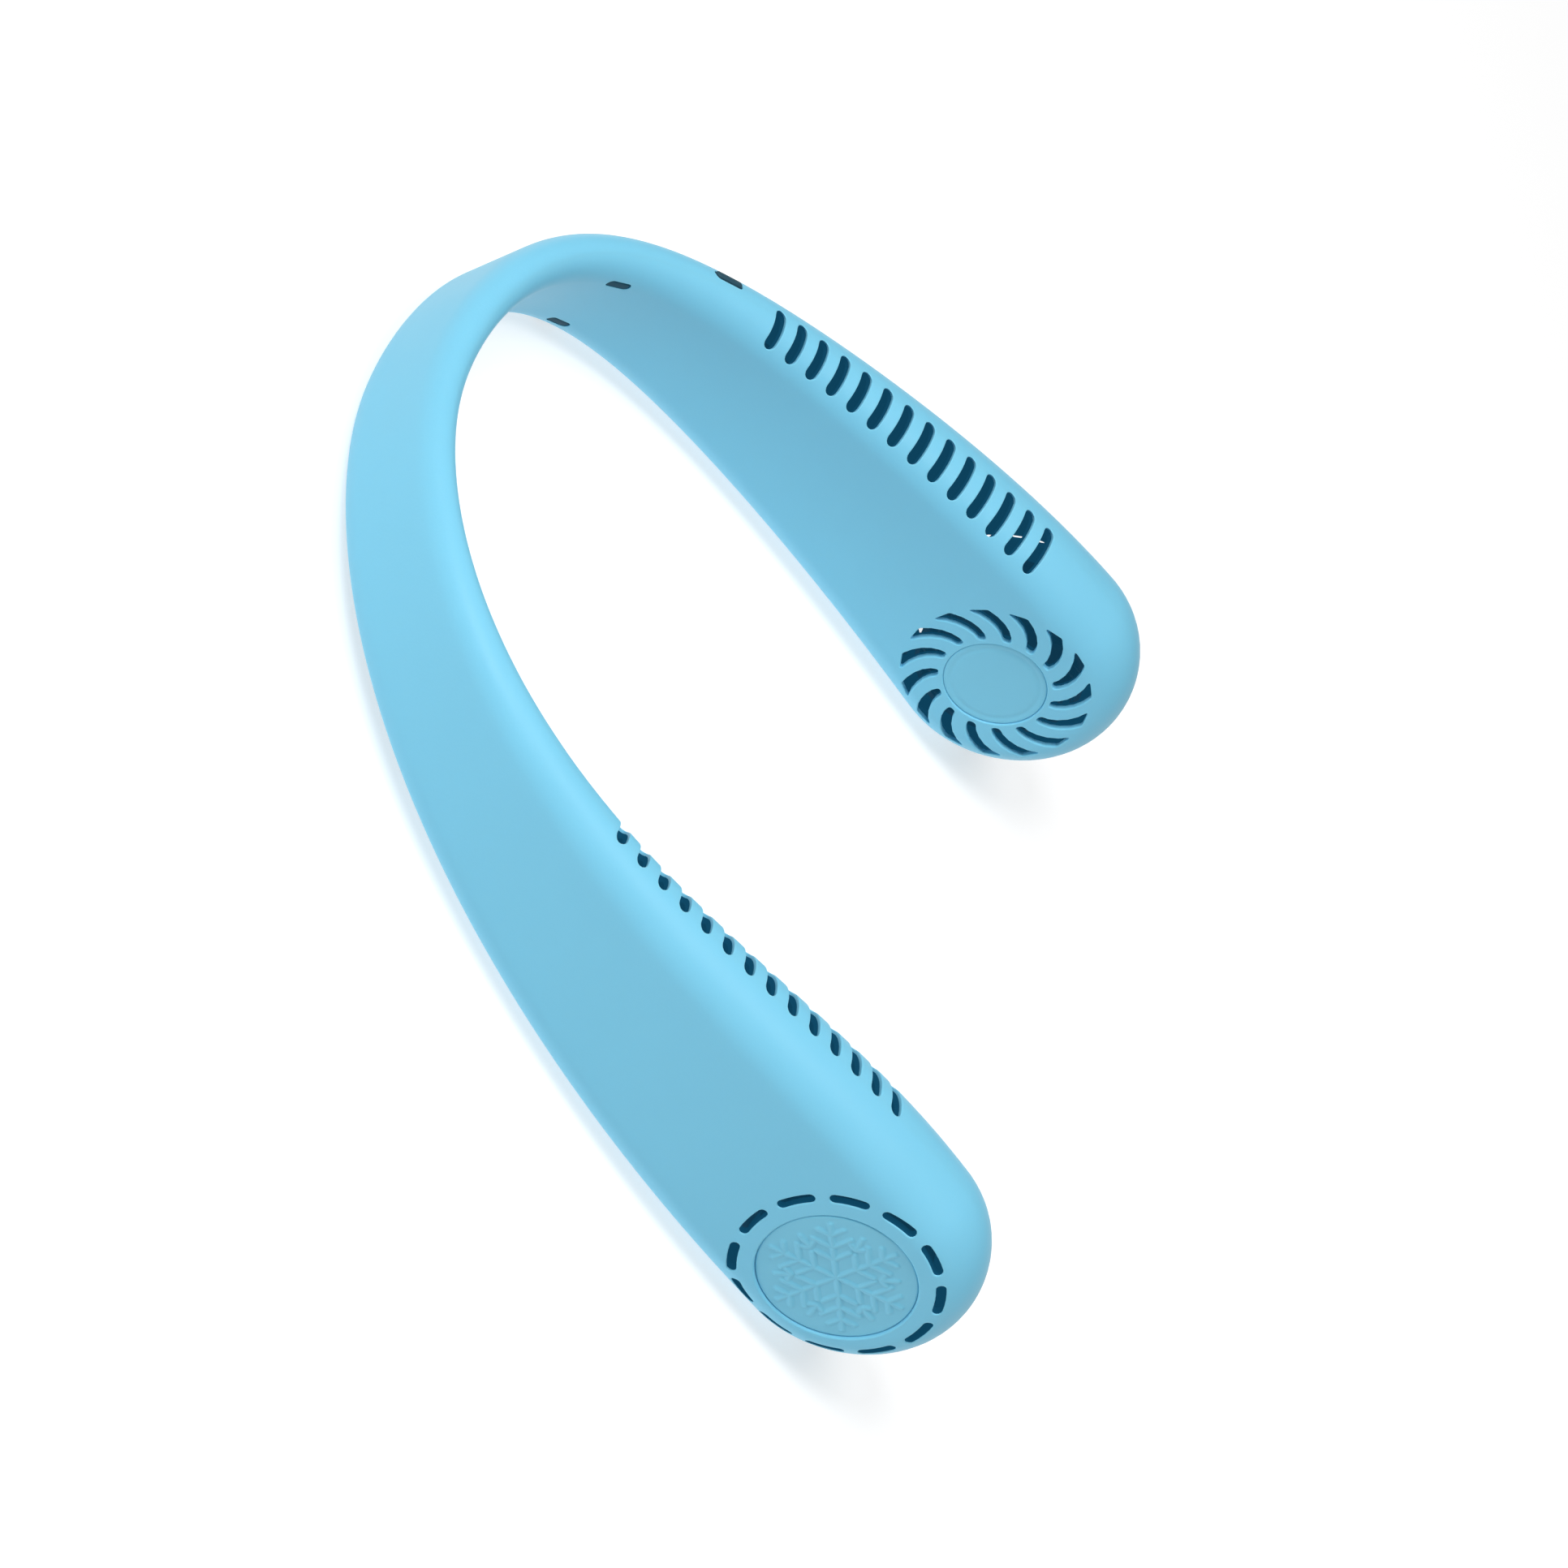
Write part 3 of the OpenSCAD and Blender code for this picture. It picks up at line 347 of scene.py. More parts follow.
def fillet_rings(fillet, clear):
    """A rounded edge from outside the skin inwards: how far out and how high each ring is."""
    first = math.radians(FILLET_STEPS[0])
    rise = LEAD + fillet * (1 - math.cos(first))
    flare = fillet * (1 - math.sin(first)) + rise / math.tan(first)
    rings = [(flare, clear), (flare, LEAD)]
    for q in FILLET_STEPS:
        a = math.radians(q)
        rings.append((fillet * (1 - math.sin(a)), -fillet * (1 - math.cos(a))))
    return rings


def ring_loops(seat, outline, rings):
    """The outline laid on the skin, grown and lifted as each ring says."""
    return [[seat.point(u, v, seat.height(u, v) + lift) for u, v in grown(outline, by)]
            for by, lift in rings]


def raise_solids(bm, loops, mirrored, last=CUT):
    """A closed solid through the loops for each hand; its last wall has its own material."""
    n = len(loops[0])
    for hand in mirrored:
        made = [[bm.verts.new((p.x * hand, p.y, p.z)) for p in loop] for loop in loops]
        for a, b in zip(made, made[1:]):
            for i in range(n):
                j = (i + 1) % n
                wall = bm.faces.new((a[i], a[j], b[j], b[i]))
                wall.material_index = last if b is made[-1] else CUT
        bm.faces.new(made[0]).material_index = CUT
        bm.faces.new(made[-1]).material_index = CUT


def cutter(bm, seat, outline, fillet, depth, mirrored=(1,), clear=CLEAR, lit=0.0):
    """A solid that cuts the outline through the wall, with a rounded edge at the skin.

    The cut walls have the shell's colour down to `lit` below the edge, and are painted dark below
    it as painted shade."""
    rings = fillet_rings(fillet, clear)
    if lit:
        rings.append((0.0, -fillet - lit))
    rings.append((0.0, -depth))
    raise_solids(bm, ring_loops(seat, outline, rings), mirrored, SHADED_DEEP)


def flat_cutter(bm, seat, outline, fillet, depth, mirrored):
    """As cutter, but with a flat floor at that depth below the face's own plane."""
    loops = ring_loops(seat, outline, fillet_rings(fillet, CLEAR))
    loops.append([seat.point(u, v, -depth) for u, v in outline])
    raise_solids(bm, loops, mirrored)


def pill(length, width, steps=7, along=1):
    """A slot's outline, long along u, with its straight sides in so many parts."""
    r, half = width / 2, (length - width) / 2
    out = []
    for end in (1, -1):
        for k in range(steps + 1):
            a = -math.pi / 2 + math.pi * k / steps
            out.append((end * (half + r * math.cos(a)), end * r * math.sin(a)))
        out += [(end * half * (1 - 2 * k / along), end * r) for k in range(1, along)]
    return out


def circle(radius, steps):
    turns = [2 * math.pi * k / steps for k in range(steps)]
    return [(radius * math.cos(a), radius * math.sin(a)) for a in turns]


def turned(outline, degrees):
    c, s = math.cos(math.radians(degrees)), math.sin(math.radians(degrees))
    return [(x * c - y * s, x * s + y * c) for x, y in outline]


def softened(outline, radius, steps=4, sharp=35, share=0.45):
    """An outline with each corner that bends more than `sharp` degrees rounded."""
    out = []
    n = len(outline)
    for i in range(n):
        p, q, r = (Vector(outline[(i + k) % n]) for k in (-1, 0, 1))
        a, b = p - q, r - q
        bend = math.pi - a.angle(b)
        if bend < math.radians(sharp):
            out.append((q.x, q.y))
            continue
        cut = min(radius * math.tan(bend / 2), a.length * share, b.length * share)
        start, end = q + a.normalized() * cut, q + b.normalized() * cut
        for k in range(steps + 1):
            t = k / steps
            m = start * (1 - t) ** 2 + q * 2 * t * (1 - t) + end * t * t
            out.append((m.x, m.y))
    return out


# The swept slot's start off the hub's seat, its divisions, how its sweep gathers and its corners
SWEPT_RIM, SWEPT_STEPS, SWEPT_POWER, SWEPT_CORNER = 0.2, 5, 1.5, 1.2


def swept_outline():
    """One comma-shaped slot: its middle line turns on as it runs out, and it widens."""
    start = HUB_SEAT_R + SWEPT_RIM
    edges = {-1: [], 1: []}
    for k in range(SWEPT_STEPS + 1):
        u = k / SWEPT_STEPS
        r = start + (SWEPT_OUT_R - start) * u
        w = SWEPT_IN_W + (SWEPT_OUT_W - SWEPT_IN_W) * u
        for edge in edges:
            a = math.radians(-SWEPT_ANGLE * u ** SWEPT_POWER) + edge * w / 2 / r
            edges[edge].append((r * math.cos(a), r * math.sin(a)))
    return softened(edges[-1] + edges[1][::-1], SWEPT_CORNER, steps=6)


def dash_outline(steps=6, mids=4):
    """One dash of the ring: a slot bent round the fan's centre."""
    half = 180 / DASH_COUNT * DASH_FILL - math.degrees(math.asin(DASH_W / 2 / DASH_R))
    r = DASH_W / 2
    out = []
    for end in (1, -1):
        a = math.radians(half) * end
        c = Vector((math.cos(a), math.sin(a))) * DASH_R
        for k in range(steps + 1):
            q = a + (0 if end == 1 else math.pi) + math.pi * k / steps
            out.append(tuple(c + Vector((math.cos(q), math.sin(q))) * r))
        for k in range(1, mids):
            m = a - end * 2 * math.radians(half) * k / mids
            out.append(tuple(Vector((math.cos(m), math.sin(m))) * (DASH_R - end * r)))
    return out


def mesh_object(name, bm):
    """An object in the scene from a bmesh, with its faces turned outwards."""
    bmesh.ops.recalc_face_normals(bm, faces=bm.faces)
    mesh = bpy.data.meshes.new(name)
    bm.to_mesh(mesh)
    bm.free()
    made = bpy.data.objects.new(name, mesh)
    bpy.context.scene.collection.objects.link(made)
    return made


def combine(obj, other, operation):
    """A boolean of two objects that keeps the first and uses up the second."""
    mod = obj.modifiers.new("cut", "BOOLEAN")
    mod.operation = operation
    mod.solver = "EXACT"
    mod.object = other
    graph = bpy.context.evaluated_depsgraph_get()
    mesh = bpy.data.meshes.new_from_object(obj.evaluated_get(graph))
    obj.modifiers.clear()
    old, obj.data = obj.data, mesh
    bpy.data.meshes.remove(old)
    gone = other.data
    bpy.data.objects.remove(other)
    bpy.data.meshes.remove(gone)


def bosses(radius, low, high, steps=72):
    """Round seats behind the wall, one in each paddle, between two heights along the shaft."""
    bm = bmesh.new()
    y0, z0 = NAPE_Y - REACH + VENT_BACK, PADDLE_R - VENT_DROP
    for hand in (-1, 1):
        rings = []
        for x in (low, high):
            rings.append([bm.verts.new((hand * (ARM_SPREAD + x), y0 + v, z0 + u))
                          for u, v in circle(radius, steps)])
        for i in range(steps):
            j = (i + 1) % steps
            bm.faces.new((rings[0][i], rings[0][j], rings[1][j], rings[1][i]))
        bm.faces.new(rings[0])
        bm.faces.new(rings[1])
    for f in bm.faces:
        f.material_index = INSIDE
    made = mesh_object("bosses", bm)
    mark(made)
    return made


def drop_slivers(mesh):
    """Make all faces triangles and drop the pairs that lie back to back."""
    bm = bmesh.new()
    bm.from_mesh(mesh)
    bmesh.ops.triangulate(bm, faces=bm.faces[:])
    bmesh.ops.remove_doubles(bm, verts=bm.verts[:], dist=WELD)
    same = {}
    for f in bm.faces:
        same.setdefault(frozenset(v.index for v in f.verts), []).append(f)
    pairs = [f for faces in same.values() if len(faces) > 1 for f in faces]
    bmesh.ops.delete(bm, geom=pairs, context="FACES")
    bm.to_mesh(mesh)
    bm.free()


def smooth_corners(mesh, limit=48):
    """Corner normals: the uncut skin's on the skin, and soft ones round each cut's edge."""
    close = math.cos(math.radians(limit))
    bm = bmesh.new()
    bm.from_mesh(mesh)
    bm.normal_update()
    on_skin = {}
    for v in bm.verts:
        if any(f.material_index == SKIN for f in v.link_faces):
            on_skin[v.index] = skin_normal(v.co)
    normals = []
    for f in bm.faces:
        for loop in f.loops:
            v = loop.vert
            if f.material_index == SKIN:
                normals.append(on_skin[v.index])
                continue
            on_rim = v.index in on_skin and f.material_index == CUT
            if on_rim and on_skin[v.index].dot(f.normal) > close:
                normals.append(on_skin[v.index])
                continue
            near = [g.normal for g in v.link_faces
                    if g.material_index == f.material_index and g.normal.dot(f.normal) > close]
            normals.append(sum(near, Vector()).normalized())
    bm.free()
    for p in mesh.polygons:
        p.use_smooth = True
    mesh.normals_split_custom_set(normals)


# The cuts: the radius of each rounded edge, the depth of each cut, and how far down the
# walls of the outlets and swept slots keep the shell's colour above the painted shade below
VENT_EDGE, BUTTON_EDGE, WINDOW_EDGE, FLAKE_EDGE, HUB_EDGE = 0.3, 0.2, 0.15, 0.55, 0.35
VENT_DEPTH, OUTLET_DEPTH, SOCKET_DEPTH, WINDOW_DEPTH = 3.4, 4.2, 4.0, 3.6
BUTTON_DEPTH = 4.0
OUTLET_LIT, SWEPT_LIT, OUTLET_CLEAR = 0.5, 1.0, 3.5
# How many sides the round recesses have, and the hands of a cut made in both arms
FLAKE_SIDES, HUB_SIDES = 96, 80
BOTH = (1, -1)


def outlets(bm):
    """The row of slots along the top of each arm. They just reach over the seam."""
    for i in range(OUTLET_COUNT):
        s = ARM_LEN - OUTLET_GAP - i * OUTLET_PITCH
        length = (skin(s, OUTLET_HIGH) - skin(s, OUTLET_LOW)).length + OUTLET_MORE
        outline = [(u - OUTLET_LIFT, v) for u, v in pill(length, OUTLET_W, steps=8, along=14)]
        seat = skin_seat(s, (OUTLET_HIGH + OUTLET_LOW) / 2, True)
        cutter(bm, seat, outline, VENT_EDGE, OUTLET_DEPTH, BOTH, OUTLET_CLEAR, OUTLET_LIT)


def button_seat():
    return skin_seat(BUTTON_S, -math.degrees(math.asin(BUTTON_OUT / half_t(BUTTON_S))))


def socket_seat():
    """The seat of the charging socket's mouth, from its node: u along it and w straight down."""
    socket = frame["nodes"]["usb_c_socket"]
    spots = [(socket.matrix_world @ v.co)[:2] for v in socket.data.vertices]
    corners = np.unique(np.round(np.array(spots) / MM, 3), axis=0)
    middle = corners.mean(axis=0)
    along = np.linalg.svd(corners - middle, full_matrices=False)[2][0]
    return Seat((*middle, 0), (*along, 0), (0, 0, -1))


def outer_cuts(bm, fan):
    """The dash ring, the snowflake disc's recess, the socket's mouth and the button's slot."""
    for i in range(DASH_COUNT):
        outline = turned(dash_outline(), DASH_TURN + i * 360 / DASH_COUNT)
        cutter(bm, fan, outline, VENT_EDGE, VENT_DEPTH, BOTH)
    recess = circle(FLAKE_R + FIT_GAP, FLAKE_SIDES)
    flat_cutter(bm, fan, recess, FLAKE_EDGE, FLAKE_RECESS + FLAKE_T, BOTH)
    mouth = pill(USB_W + 2 * SLIDE_GAP, USB_T + 2 * SLIDE_GAP)
    cutter(bm, socket_seat(), mouth, VENT_EDGE, SOCKET_DEPTH)
    slot = pill(BUTTON_L + 2 * SLIDE_GAP, BUTTON_W + 2 * SLIDE_GAP)
    cutter(bm, button_seat(), slot, BUTTON_EDGE, BUTTON_DEPTH)
    outlets(bm)


def inner_cuts(bm, fan):
    """The outlets, the swept slots, the hub disc's recess and the two windows' holes."""
    outlets(bm)
    for i in range(SWEPT_COUNT):
        outline = turned(swept_outline(), SWEPT_TURN + i * 360 / SWEPT_COUNT)
        cutter(bm, fan, outline, VENT_EDGE, VENT_DEPTH, BOTH, lit=SWEPT_LIT)
    recess = circle(HUB_DISC_R + FIT_GAP, HUB_SIDES)
    flat_cutter(bm, fan, recess, HUB_EDGE, HUB_RECESS + HUB_DISC_T, BOTH)
    hole = pill(LIGHT_L + 2 * FIT_GAP, LIGHT_W + 2 * FIT_GAP)
    for s, angle in ((LIGHT_S, LIGHT_ANGLE), (CHARGE_S, CHARGE_ANGLE)):
        cutter(bm, skin_seat(s, angle), hole, WINDOW_EDGE, WINDOW_DEPTH)


def casing(side):
    """The outer (1) or inner (-1) half of the casing, with its seats and cuts, in metres."""
    name = "casing_outer" if side == 1 else "casing_inner"
    shell = bpy.data.objects.new(name, casing_half(side))
    bpy.context.scene.collection.objects.link(shell)
    mark(shell)
    bm = bmesh.new()
    if side == 1:
        low = FACE_X - FLAKE_RECESS - FLAKE_T - SEAT_T
        seats = bosses(FLAKE_R + SEAT_T, low, FACE_X - WALL / 2)
        outer_cuts(bm, fan_seat(side))
    else:
        high = -FACE_X + (HUB_RECESS + HUB_DISC_T + HUB_WALL)
        seats = bosses(HUB_SEAT_R, -FACE_X + WALL / 2, high)
        inner_cuts(bm, fan_seat(side))
    combine(shell, seats, "UNION")
    knife = mesh_object("knife", bm)
    mark(knife)
    combine(shell, knife, "DIFFERENCE")
    drop_slivers(shell.data)
    smooth_corners(shell.data)
    shell.data.transform(Matrix.Scale(MM, 4))
    return shell


# Discs, button and windows

# The snowflake: its ridges' half width, height and roundness, then, as shares of the disc's
# radius, its arms' length, its twigs' places and lengths, and its barbs' place and length
FLAKE_RIDGE, FLAKE_RELIEF, FLAKE_POWER = 0.855, 0.35, 1.5
FLAKE_ARM = 0.88
TWIGS = ((0.3, 0.24), (0.5, 0.27), (0.7, 0.18))
BARB_PLACE, BARB_LENGTH = 0.56, 0.2
# The plain disc's groove, its place as a share of the radius, and the steps of both discs'
# rounded rims in degrees
GROOVE_DEPTH, GROOVE_PLACE, GROOVE_W = 0.14, 0.87, 0.55
RIM_STEPS = (15, 30, 45, 60, 75, 90)


def flake_lines():
    """The snowflake's middle lines, from and to, in the fan's frame."""
    lines = []

    def ray(start, angle, length):
        a = math.radians(angle)
        end = (start[0] + length * math.cos(a), start[1] + length * math.sin(a))
        lines.append((*start, *end))

    for i in range(6):
        a = 60 * i
        c, d = math.cos(math.radians(a)), math.sin(math.radians(a))
        ray((0, 0), a, FLAKE_R * FLAKE_ARM)
        for share, length in TWIGS:
            for side in (-60, 60):
                ray((FLAKE_R * share * c, FLAKE_R * share * d), a + side, FLAKE_R * length)
        e, f = math.cos(math.radians(a + 30)), math.sin(math.radians(a + 30))
        foot = (FLAKE_R * BARB_PLACE * e, FLAKE_R * BARB_PLACE * f)
        ray(foot, a + 30, FLAKE_R * BARB_LENGTH)
        for side in (-60, 60):
            ray(foot, a + 30 + side, FLAKE_R * BARB_LENGTH / 2)
    return np.array(lines)


def relief(points):
    """The snowflake's height over its disc: round-backed ridges along its lines."""
    near = np.full(len(points), np.inf)
    for x0, y0, x1, y1 in flake_lines():
        a, d = np.array((x0, y0)), np.array((x1 - x0, y1 - y0))
        t = np.clip((points - a) @ d / (d @ d), 0, 1)
        near = np.minimum(near, np.linalg.norm(points - a - t[:, None] * d, axis=1))
    return FLAKE_RELIEF * np.clip(1 - (near / FLAKE_RIDGE) ** 2, 0, None) ** FLAKE_POWER


def hub_face(points):
    """The plain disc's face: a shallow ring groove inside its rim."""
    r = np.linalg.norm(points, axis=1)
    return -GROOVE_DEPTH * np.exp(-((r - HUB_DISC_R * GROOVE_PLACE) / GROOVE_W) ** 2)


def disc_piece(name, seat, hand, radius, thick, recess, rim, height, radial, spokes):
    """A round disc in its recess: soft rim, flat back, and its face lifted by height(points).

    Its face has so many rings (radial) and so many spokes."""
    turns = np.linspace(0, 2 * math.pi, spokes, endpoint=False)
    ring_dirs = np.stack([np.cos(turns), np.sin(turns)], 1)
    rows = []
    for k in range(1, radial + 1):
        flat = ring_dirs * ((radius - rim) * k / radial)
        rows.append((flat, height(flat) - recess))
    for q in RIM_STEPS:
        a = math.radians(q)
        flat = ring_dirs * (radius - rim + rim * math.sin(a))
        rows.append((flat, np.full(spokes, -recess - rim * (1 - math.cos(a)))))
    rows.append((ring_dirs * radius, np.full(spokes, -recess - thick)))
    middle = height(np.zeros((1, 2)))[0] - recess
    spots = [seat.point(0, 0, middle)]
    for flat, lift in rows:
        spots += [seat.point(u, v, w) for (u, v), w in zip(flat, lift)]
    spots.append(seat.point(0, 0, -recess - thick))
    faces = [(0, 1 + j, 1 + (j + 1) % spokes) for j in range(spokes)]
    for i in range(len(rows) - 1):
        a, b = 1 + i * spokes, 1 + (i + 1) * spokes
        for j in range(spokes):
            k = (j + 1) % spokes
            faces.append((a + j, b + j, b + k, a + k))
    last = 1 + (len(rows) - 1) * spokes
    faces += [(len(spots) - 1, last + (j + 1) % spokes, last + j) for j in range(spokes)]
    bm = bmesh.new()
    verts = [bm.verts.new((p.x * hand * MM, p.y * MM, p.z * MM)) for p in spots]
    for f in faces:
        bm.faces.new([verts[i] for i in f])
    made = mesh_object(name, bm)
    for p in made.data.polygons:
        p.use_smooth = True
    return made


def plug_piece(name, seat, stack, steps=10, crease=50):
    """A long plug built from pill outlines (length, width) at rising heights."""
    bm = bmesh.new()
    rings = []
    for length, width, w in stack:
        outline = pill(length, width, steps)
        rings.append([bm.verts.new(seat.point(u, v, w) * MM) for u, v in outline])
    for a, b in zip(rings, rings[1:]):
        for i in range(len(a)):
            j = (i + 1) % len(a)
            bm.faces.new((a[i], a[j], b[j], b[i]))
    bm.faces.new(rings[0])
    bm.faces.new(rings[-1])
    made = mesh_object(name, bm)
    made.data.shade_smooth()
    made.data.set_sharp_from_angle(angle=math.radians(crease))
    return made


def round_top(length, width, top, r, steps=6):
    """The upper rings of a plug whose top edge is rounded."""
    out = []
    for k in range(steps + 1):
        a = math.pi / 2 * k / steps
        inset = r * (1 - math.cos(a))
        out.append((length - 2 * inset, width - 2 * inset, top - r + r * math.sin(a)))
    return out


# Materials
def linear(code):
    """A colour written as a hex code, in linear values."""
    channels = [int(code[i:i + 2], 16) / 255 for i in (1, 3, 5)]
    return [c / 12.92 if c <= 0.04045 else ((c + 0.055) / 1.055) ** 2.4 for c in channels] + [1.0]


def node_material(name, base, roughness, metallic=0.0, grain=900.0, depth=0.02, tone=0.06,
                  subsurface=0.0, coat=0.0, stretch=(1, 1, 1), specular=0.5, painted_glow=None):
    """A moulded or metal surface: fine grain in its bump, soft patches in colour and roughness,
    and a painted glow where one is given.
    """
    mat = bpy.data.materials.new(name)
    mat.use_nodes = True
    nodes, links = mat.node_tree.nodes, mat.node_tree.links
    shader = nodes["Principled BSDF"]
    coords = nodes.new("ShaderNodeTexCoord")
    mapping = nodes.new("ShaderNodeMapping")
    mapping.inputs["Scale"].default_value = stretch
    links.new(coords.outputs["Object"], mapping.inputs["Vector"])
    noises = []
    for scale, detail in ((grain, 3.0), (PATCH_SCALE, 2.0)):
        noise = nodes.new("ShaderNodeTexNoise")
        noise.inputs["Scale"].default_value = scale
        noise.inputs["Detail"].default_value = detail
        links.new(mapping.outputs["Vector"], noise.inputs["Vector"])
        noises.append(noise.outputs["Fac"])
    fine, soft = noises
    colour = nodes.new("ShaderNodeMix")
    colour.data_type = "RGBA"
    rgb = linear(base)[:3]
    colour.inputs[6].default_value = [c * (1 - tone) for c in rgb] + [1]
    colour.inputs[7].default_value = [min(c * (1 + tone), 1) for c in rgb] + [1]
    links.new(soft, colour.inputs["Factor"])
    links.new(colour.outputs[2], shader.inputs["Base Color"])
    spread = nodes.new("ShaderNodeMapRange")
    spread.inputs["To Min"].default_value = max(roughness - ROUGH_SPREAD, LEAST_ROUGH)
    spread.inputs["To Max"].default_value = min(roughness + ROUGH_SPREAD, 1)
    links.new(soft, spread.inputs["Value"])
    links.new(spread.outputs["Result"], shader.inputs["Roughness"])
    bump = nodes.new("ShaderNodeBump")
    bump.inputs["Strength"].default_value = depth
    bump.inputs["Distance"].default_value = MM
    links.new(fine, bump.inputs["Height"])
    links.new(bump.outputs["Normal"], shader.inputs["Normal"])
    values = {"Metallic": metallic, "Specular IOR Level": specular}
    if subsurface:
        values["Subsurface Weight"] = subsurface
        values["Subsurface Radius"] = SCATTER_COLOUR
        values["Subsurface Scale"] = SCATTER_DEPTH
    # Painted light: an even glow on a part that is no lamp
    if painted_glow:
        values["Emission Color"] = linear(painted_glow)
        values["Emission Strength"] = 1.0
    if coat:
        values["Coat Weight"] = coat
        values["Coat Roughness"] = COAT_ROUGH
    for socket, value in values.items():
        shader.inputs[socket].default_value = value
    return mat


# The patches' scale, how far they shift the roughness and the least that it may be, then how
# light scatters in the plastic, by colour and in metres, and how rough a clear coat is
PATCH_SCALE, ROUGH_SPREAD, LEAST_ROUGH = 60.0, 0.08, 0.02
SCATTER_COLOUR, SCATTER_DEPTH, COAT_ROUGH = (0.6, 1.0, 1.2), 0.0015, 0.08
# Painted light: a faint glow on what lies inside the thin shell, standing in for the light
# that comes through it, so it is dark blue and not black
INSIDE_PAINTED_GLOW = "#0a3348"
FINISHES = {
    "shell_plastic": dict(base="#80cdea", roughness=0.4, depth=0.03, tone=0.015, grain=1400,
                          subsurface=0.12, specular=0.14),
    # The cavity and the deep walls of the cuts: painted shade in dark navy, with a painted glow
    "painted_shade_inside": dict(base="#0b3146", roughness=0.85, depth=0.06, tone=0.05, grain=1500,
                         specular=0.0, painted_glow="#0d4059"),
    "disc_plastic": dict(base="#7bcae6", roughness=0.45, depth=0.05, tone=0.02, grain=1800,
                         subsurface=0.08, specular=0.3),
    "dark_plastic": dict(base="#2c4f5e", roughness=0.5, depth=0.05, grain=2500, specular=0.2),
    "wheel_plastic": dict(base="#16303f", roughness=0.5, depth=0.06, grain=2200, specular=0.2,
                          painted_glow=INSIDE_PAINTED_GLOW),
    "steel": dict(base="#b4b9bd", roughness=0.28, metallic=1.0, depth=0.05, grain=1500,
                  stretch=(6, 1, 1)),
    "magnet": dict(base="#2b2b2e", roughness=0.6, depth=0.12, grain=3000),
    "bearing_brass": dict(base="#b99a5a", roughness=0.4, metallic=1.0, depth=0.1, grain=4000),
    "winding": dict(base="#b8693d", roughness=0.3, metallic=0.6, depth=0.3, grain=2600,
                    stretch=(1, 6, 6), coat=0.6),
    "core": dict(base="#6c7076", roughness=0.42, metallic=0.9, depth=0.25, grain=1800,
                 stretch=(8, 1, 1)),
    "duct_plastic": dict(base="#143443", roughness=0.5, depth=0.06, grain=2000, specular=0.2,
                         painted_glow=INSIDE_PAINTED_GLOW),
    "cell_wrap": dict(base="#20303c", roughness=0.45, metallic=0.3, depth=0.2, grain=500),
    "board": dict(base="#1d5a3a", roughness=0.35, depth=0.08, grain=1500, coat=0.5),
    # The smoked windows' own dark colour, with a painted glow
    "smoked_window": dict(base="#06303f", roughness=0.45, depth=0.01, tone=0.1, grain=1500,
                          specular=0.05, painted_glow="#062c3a"),
    "cable_jacket": dict(base="#202428", roughness=0.55, depth=0.15, grain=2500),
}
MATERIALS = {name: node_material(name, **finish) for name, finish in FINISHES.items()}

# The pieces of the construction that are seen as they are get their slot's finish
SLOTS = {part["node"]: part["material_slot"] for part in frame["record"]["subparts"]}
for name, node in frame["nodes"].items():
    node.data.materials.clear()
    node.data.materials.append(MATERIALS[SLOTS[name]])


# Pieces
def finish_piece(obj, slot, body, node):
    """Dress a piece, hang it on its body and let it stand for its node."""
    if not obj.data.materials:
        obj.data.materials.append(MATERIALS[slot])
    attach(obj, body)
    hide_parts(node)


for side, node in ((1, "outer_shell"), (-1, "inner_shell")):
    shell = casing(side)
    # Slot by slot, because clearing the list would set every face back to the first slot
    # The cavity and the deep cut walls get the dark finish that paints their shade
    for i, finish in {SKIN: "shell_plastic", INSIDE: "painted_shade_inside",
                      CUT: "shell_plastic", SHADED_DEEP: "painted_shade_inside"}.items():
        shell.data.materials[i] = MATERIALS[finish]
    finish_piece(shell, "shell_plastic", "casing", node)

# The discs nearly fill their recesses, so only a fine line shows round them
FLAKE_EASE, FLAKE_RIM, HUB_EASE, HUB_RIM = 0.12, 0.45, 0.13, 0.35
for hand, side in ((-1, "right"), (1, "left")):
    disc = disc_piece("flake_disc_" + side, fan_seat(1), hand, FLAKE_R + FLAKE_EASE, FLAKE_T,
                      FLAKE_RECESS, FLAKE_RIM, relief, radial=92, spokes=360)
    finish_piece(disc, "disc_plastic", "casing", "snowflake_disc_" + side)
    plain = disc_piece("plain_disc_" + side, fan_seat(-1), hand, HUB_DISC_R + HUB_EASE,
                       HUB_DISC_T, HUB_RECESS, HUB_RIM, hub_face, radial=40, spokes=144)
    finish_piece(plain, "disc_plastic", "casing", "hub_disc_" + side)

# The button's cap, with the flange under the wall that keeps it in, and the windows' panes
FLANGE_GAP, FLANGE_T, FLANGE_MORE, CAP_ROUND, PANE_ROUND = 0.4, 0.8, 1.6, 0.5, 0.3
high = -WALL - FLANGE_GAP
low = high - FLANGE_T
flange = [(BUTTON_L + FLANGE_MORE, BUTTON_W, low), (BUTTON_L + FLANGE_MORE, BUTTON_W, high),
          (BUTTON_L, BUTTON_W, high)]
cap = round_top(BUTTON_L, BUTTON_W, BUTTON_PROUD, CAP_ROUND)
button = plug_piece("button_cap", button_seat(), flange + cap)
finish_piece(button, "dark_plastic", "power_button", "power_button")

pane = [(LIGHT_L, LIGHT_W, -WALL - LIGHT_SINK)]
pane += round_top(LIGHT_L, LIGHT_W, -LIGHT_SINK, PANE_ROUND)
for s, angle, name, node in ((LIGHT_S, LIGHT_ANGLE, "upper_window", "status_light"),
                             (CHARGE_S, CHARGE_ANGLE, "lower_window", "charge_light")):
    window = plug_piece(name, skin_seat(s, angle), pane)
    finish_piece(window, "smoked_window", "casing", node)


